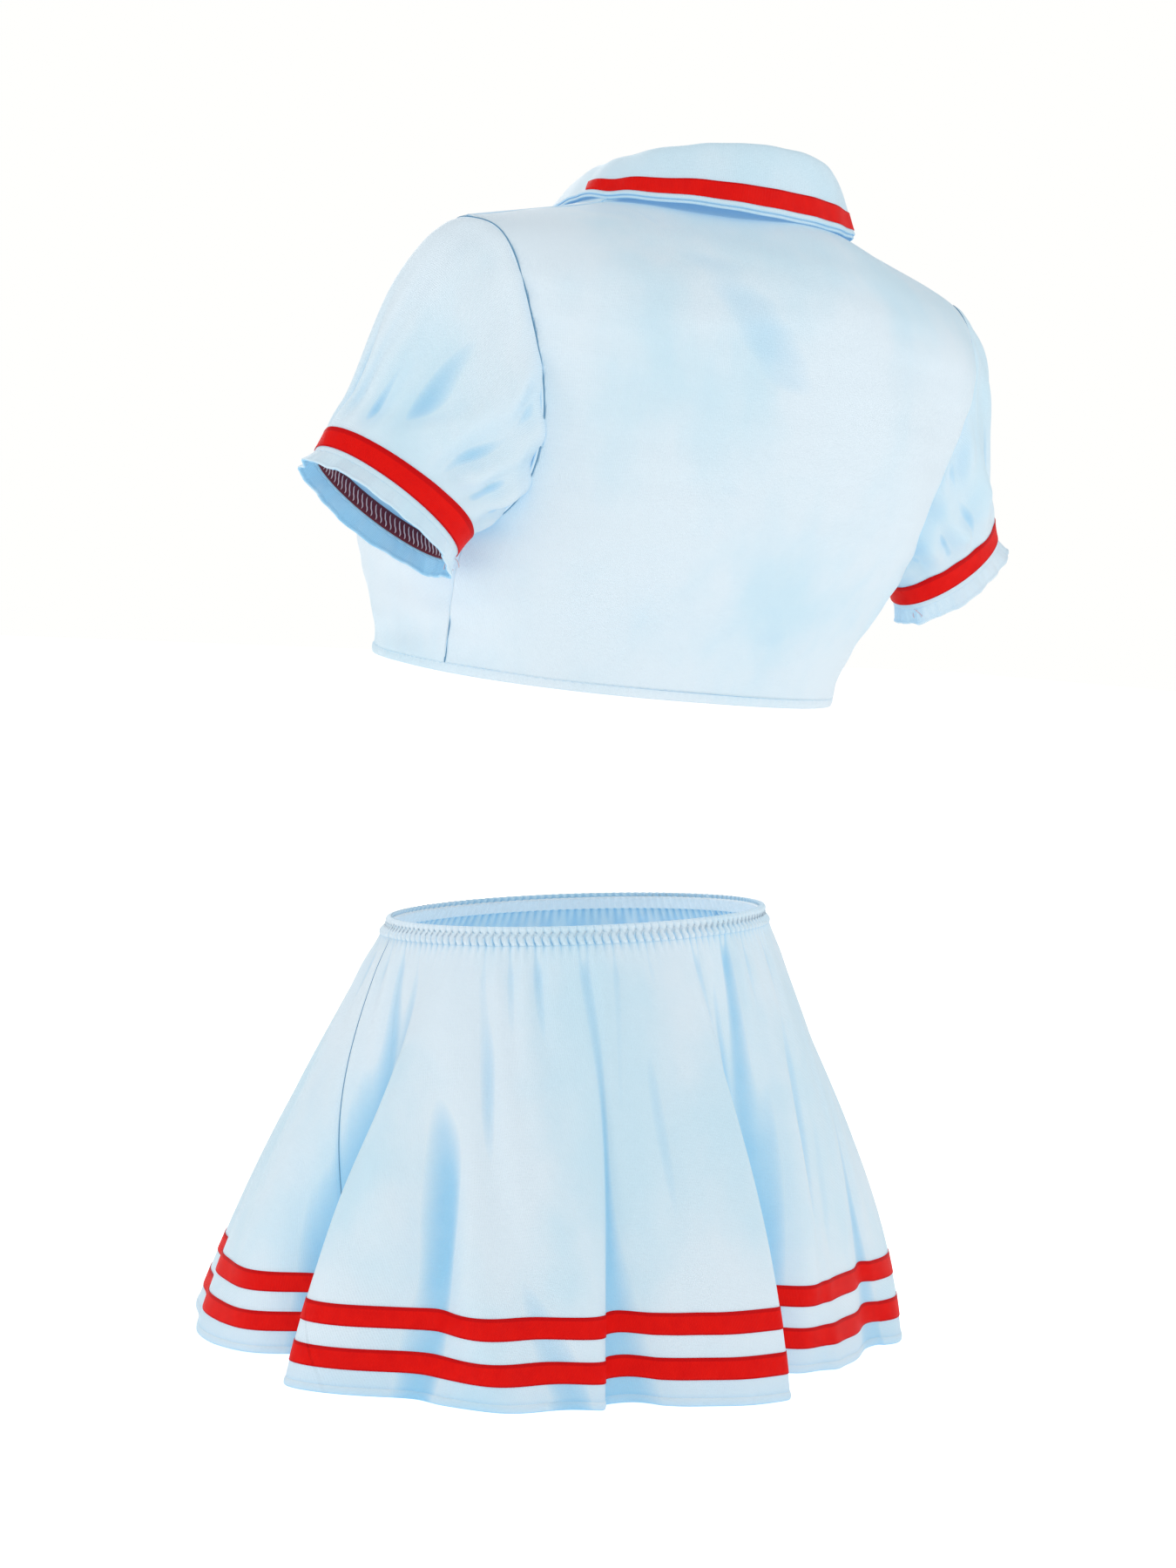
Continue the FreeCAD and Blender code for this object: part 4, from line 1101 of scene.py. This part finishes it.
def make_sleeve(side, place, drape):
    """Puff sleeve with its ribbon, frill and inside overlocking."""
    turn, rise = sleeve_grid((0.0, 1.0), SLEEVE_COLUMNS, 90)
    draped = sleeve_cloth(turn, rise) + refine(drape, SLEEVE_COLUMNS, 90)
    turn, fall = sleeve_grid((1, 0), SLEEVE_COLUMNS, 14)
    edge = 0.4 + 0.45 * ease(0.8, 0.97, fall)
    across, along = grid((-3, 3), (0.3, 0.92), 5, 30)
    stripe = sleeve_band(*SLEEVE_STRIPE, SLEEVE_COLUMNS, 8)
    binding = sleeve_band(*OVERLOCK_BAND, SLEEVE_COLUMNS, 8)
    seam = sleeve_cloth(math.pi + across / CUFF_HALF[1], along)
    for name, node, points, layer, material in (
        ("cloth_", "", draped, KNIT_LAYER, "pale_knit"),
        ("ribbon_", "stripe_", stripe, SLEEVE_RIBBON_LAYER, "red_ribbon"),
        ("binding_", "overlock_", binding, BINDING_LAYER, "burgundy_binding"),
        ("frill_cloth_", "frill_", frill_points(fall, turn), (-edge, edge), "pale_knit"),
        ("seam_inside_", "seam_", seam, SEAM_LAYER, "pale_knit"),
    ):
        make_piece("sleeve_" + name + side, place(points), layer, ["sleeve_" + node + side], material,
                   ring=points is not seam)
    make_cord("sleeve_overlock_thread_" + side, ladder_lines(place), 0.36, "overlock_thread")
    make_cord("sleeve_thread_tail_" + side, knot_lines(place), 0.3, "overlock_thread")


def ladder_lines(place):
    """Slanting overlock threads across the inside binding."""
    points = place(sleeve_band(2.0, 8.0, SLEEVE_COLUMNS, len(LADDER_SHIFT)))
    points = points - normals(points, True) * 1.6
    return [[points[(i + shift) % SLEEVE_COLUMNS, row] for row, shift in enumerate(LADDER_SHIFT)]
            for i in range(0, SLEEVE_COLUMNS, LADDER_STEP)]


def knot_lines(place):
    """Loose ends of thread where the overlocking meets under the arm."""
    pick = np.random.default_rng(5)
    points = place(sleeve_band(-1.0, 4.0, 60, 4))
    root = points[0, 1] - normals(points, True)[0, 1] * 2.2
    step = np.linspace(0, 1, 9)[:, None]
    lines = []
    for _ in range(5):
        swing = pick.uniform(-5, 5, 3)
        bend = np.sin(step * math.pi * pick.uniform(0.8, 1.8)) * pick.uniform(-2.2, 2.2, 3)
        fall = np.array((0, 0, -7.0)) * step * pick.uniform(0.5, 1.0)
        lines.append(root + swing * step + bend + fall)
    return lines


# ---- neck and collar

def collar_back_lines(turn):
    """Neck seam, fold and outer edge of the collar's back: turn 0 at the back, a quarter at the side."""
    cosine, sine = np.cos(turn), np.sin(turn)
    middle = neck_middle()
    seam = body_top(NECK_HALF_WIDTH * sine, middle + NECK_BACK_DEPTH * cosine)
    fold = points_of(COLLAR_FOLD_SIDE[0] * sine, middle + COLLAR_FOLD_BACK[0] * cosine,
                     mix(COLLAR_FOLD_SIDE[1], COLLAR_FOLD_BACK[1], cosine))
    edge = points_of(COLLAR_EDGE_SIDE[0] * sine, middle + COLLAR_EDGE_BACK[0] * cosine,
                     mix(COLLAR_EDGE_SIDE[1], COLLAR_EDGE_BACK[1], cosine))
    return seam, fold, edge


def neck_front(lean):
    """Neck seam in front: the V at the height where the chest has leaned over by an angle."""
    x = np.full_like(lean, NECK_HALF_WIDTH)
    for _ in range(8):
        drop = neck_side()[2] - body_front(x, lean)[..., 2]
        x = NECK_HALF_WIDTH * (1 - drop / NECK_V_DROP)
    return body_front(x, lean)


def collar_front_lines(step):
    """The same lines in front: step 0 at the side and 1 at the bottom of the V."""
    cosine, sine = np.cos(step * QUARTER), np.sin(step * QUARTER)
    reach = (step + step * step) / 2
    side = neck_side()
    seam = neck_front(mix(lean_at(*side), NECK_V_LEAN, reach))
    out, ahead, up = COLLAR_FRONT_FOLD
    fold = seam + points_of(mix(out, COLLAR_FOLD_SIDE[0] - side[0], cosine), ahead * sine,
                            mix(up, COLLAR_FOLD_SIDE[1] - side[2], cosine))
    corner = np.array((COLLAR_EDGE_SIDE[0], side[1], COLLAR_EDGE_SIDE[1]))
    start = lean_at(*corner)
    over = corner - body_front(corner[0], start)
    edge = body_front(mix(COLLAR_POINT_X, corner[0], cosine), mix(start, COLLAR_POINT_LEAN, reach),
                      COLLAR_CLEAR * step)
    return seam, fold, edge + over * (1 - step)[..., None]


def collar_line_points(way):
    """Lines of the whole collar: way 0 at the back, +-0.5 at the sides and +-1 in front."""
    ahead = np.abs(way)
    back = collar_back_lines(np.minimum(ahead, 0.5) * math.pi)
    front = collar_front_lines(2 * np.maximum(ahead, 0.5) - 1)
    at_back = (ahead <= 0.5)[..., None]
    flip = points_of(np.where(way < 0, -1.0, 1.0), 1, 1)
    return [np.where(at_back, rear, fore) * flip for rear, fore in zip(back, front)]


def collar_points(way, across):
    """Collar: across 0 at the neck seam, over the fold, 1 at the outer edge."""
    seam, fold, edge = collar_line_points(way)
    outward = unit((edge - seam) * np.array((1, 1, 0))) * COLLAR_ROLL
    step = (across / COLLAR_FOLD)[..., None]
    stand_part = hermite(seam, (fold - seam) * COLLAR_PULL, fold, outward, step)
    step = ((across - COLLAR_FOLD) / (1 - COLLAR_FOLD))[..., None]
    fall_part = hermite(fold, outward, edge, (edge - fold) * COLLAR_PULL, step)
    return np.where((across < COLLAR_FOLD)[..., None], stand_part, fall_part)


def collar_cloth(way, across):
    """Collar with small creases across it and a slightly wavy edge."""
    points = collar_points(way, across)
    out = normals(points)
    creases = 0.55 * waves(way, across, 8, (25, 75), (-3, 3), 61) * ease(0.25, 0.7, across)
    roll = 0.7 * waves(way, across, 4, (6, 14), (-1, 1), 62) * ease(0.5, 1.0, across)
    return points + out * (creases + roll)[..., None]


def make_neck():
    """Collar of two leaves with its ribbon, the tape over the neck seam and the size label."""
    for name, middle, reach, covers in (
        ("under", -0.75, 1.0, ["collar_under"]),
        ("upper", 0.75, 0.975, ["collar_upper", "collar_interfacing"]),
    ):
        way, across = grid((-0.97, 0.97), (0.0, reach), 460, 64)
        half = 0.4 + ease(reach - 0.05, reach, across) * 0.25
        points = stand(collar_cloth(way, across))
        make_piece("collar_leaf_" + name, points, (middle - half, middle + half), covers)
    way, step = grid((-1, 1), (0, 1), 400, 9)
    points = stand(collar_cloth(way * (0.5 - 0.02 * step), mix(0.82, 0.94, step)))
    make_piece("collar_ribbon", points, COLLAR_RIBBON_LAYER, ["collar_stripe"], "red_ribbon")
    way, across = grid((0.4, -0.4), (1, 0), 90, 5)
    wider = 3 + 8 * across
    points = body_top((NECK_HALF_WIDTH + wider) * np.sin(way * math.pi),
                      neck_middle() + (NECK_BACK_DEPTH + wider) * np.cos(way * math.pi))
    make_piece("neck_binding", stand(points), NECK_TAPE_LAYER, ["neck_tape"], "white_tape")
    across, height = grid((-11, 11), (0.68, 0.8), 12, 16)
    curl = points_of(0, 0.5 * np.sin(across * 0.3) * (0.8 - height) * 10, 0)
    points = panel_points(QUARTER + across / HALF_WIDTH[0][1], height) - curl
    make_piece("size_tag", stand(points), SIZE_TAG_LAYER, ["size_label"], "label_stock")


# ---- stage

def make_stage():
    """Pale floor, brighter to the camera than to the garment."""
    tree, shader = new_material("studio_paper", (0.97, 0.97, 0.96), 0.9)
    grain = calculate("MULTIPLY", space_noise(tree, 60, 2.0), 0.1)
    feed(shader.inputs["Base Color"], blend_colours(grain, (0.98, 0.98, 0.97), (0.95, 0.95, 0.95)))
    seen = add_node(tree, "LightPath").outputs["Is Camera Ray"]
    add_glow(shader, STUDIO_WHITE, calculate("MULTIPLY_ADD", seen, 0.45, 0.3))
    floor = bpy.data.meshes.new("floor")
    corners = [(x * FLOOR_HALF, y * FLOOR_HALF, 0) for x, y in ((-1, -1), (1, -1), (1, 1), (-1, 1))]
    floor.from_pydata(corners, [], [(0, 1, 2, 3)])
    floor.materials.append(bpy.data.materials["studio_paper"])
    plane = bpy.data.objects.new("floor", floor)
    bpy.context.scene.collection.objects.link(plane)


def add_light(name, place, size, power):
    """Square lamp in metres and watts, turned towards the middle of the garment."""
    lamp = bpy.data.lights.new(name, "AREA")
    lamp.size, lamp.energy = size, power
    piece = bpy.data.objects.new(name, lamp)
    piece.location = place
    piece.rotation_euler = (Vector(GARMENT_MIDDLE) - Vector(place)).to_track_quat("-Z", "Y").to_euler()
    bpy.context.scene.collection.objects.link(piece)


def make_lights():
    """Even surrounding light under four lamps; the camera sees the surroundings as white."""
    world = bpy.data.worlds.new("studio")
    world.use_nodes = True
    tree = world.node_tree
    seen, lighting = tree.nodes["Background"], add_node(tree, "Background")
    for background, colour, strength in ((seen, STUDIO_WHITE, 1.0), (lighting, (0.96, 0.98, 1.0), 0.5)):
        feed(background.inputs["Color"], colour)
        feed(background.inputs["Strength"], strength)
    choice = add_node(tree, "MixShader")
    sources = (add_node(tree, "LightPath").outputs["Is Camera Ray"], lighting.outputs[0], seen.outputs[0])
    for socket, source in zip(choice.inputs, sources):
        feed(socket, source)
    feed(tree.nodes["World Output"].inputs[0], choice.outputs[0])
    bpy.context.scene.world = world
    bpy.context.scene.view_settings.view_transform = "Standard"
    for name, (place, size, power) in LIGHTS.items():
        add_light(name, place, size, power)


def make_camera():
    """Camera behind the garment, towards the wearer's left."""
    camera = bpy.data.cameras.new("camera")
    camera.lens, camera.sensor_width, camera.sensor_height = CAMERA_LENS, 36, 36
    camera.sensor_fit = "VERTICAL"
    camera.shift_x, camera.shift_y = CAMERA_SHIFT
    sine, cosine = math.sin(CAMERA_AZIMUTH), math.cos(CAMERA_AZIMUTH)
    level = math.cos(CAMERA_PITCH)
    ahead = Vector((-sine * level, -cosine * level, -math.sin(CAMERA_PITCH)))
    turn = ahead.to_track_quat("-Z", "Y") @ Matrix.Rotation(CAMERA_ROLL, 3, "Z").to_quaternion()
    piece = bpy.data.objects.new("camera", camera)
    piece.location = (sine * CAMERA_DISTANCE, cosine * CAMERA_DISTANCE, CAMERA_HEIGHT)
    piece.rotation_euler = turn.to_euler()
    bpy.context.scene.collection.objects.link(piece)
    bpy.context.scene.camera = piece


# ---- assembly

def attach(piece):
    """By the garment part that its name starts with, fixes a piece to the body that moves it: the other
    sleeve pieces to their sleeve and the top's pieces to the top. Skirt, waist and care tag pieces and the
    sleeve cloth and seams only get their transforms applied; for the sleeve cloth and seams the
    SLEEVE_STRETCH points are worked out but not used.
    """
    side = piece.name.rsplit("_", 1)[-1]
    if piece.name.startswith(("skirt_", "waist_", "care_")):
        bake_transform(piece)
    elif piece.name.startswith(("sleeve_cloth_", "sleeve_seam_")):
        start, run = np.array(SLEEVE_STRETCH) * (-1 if side == "right" else 1, 1, 1)
        start, end = (tuple(stand(point) * MM) for point in (start, start + run))
        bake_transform(piece)
    elif piece.name.startswith("sleeve_"):
        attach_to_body(piece, "sleeve_" + side)
    else:
        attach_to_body(piece, "top")


def main():
    make_materials()
    make_skirt()
    make_body()
    drape = sleeve_drape()
    for side, place in SIDES.items():
        make_sleeve(side, place, drape)
    make_neck()
    make_care_tag()
    for piece in made:
        attach(piece)
    make_stage()
    make_lights()
    make_camera()


main()
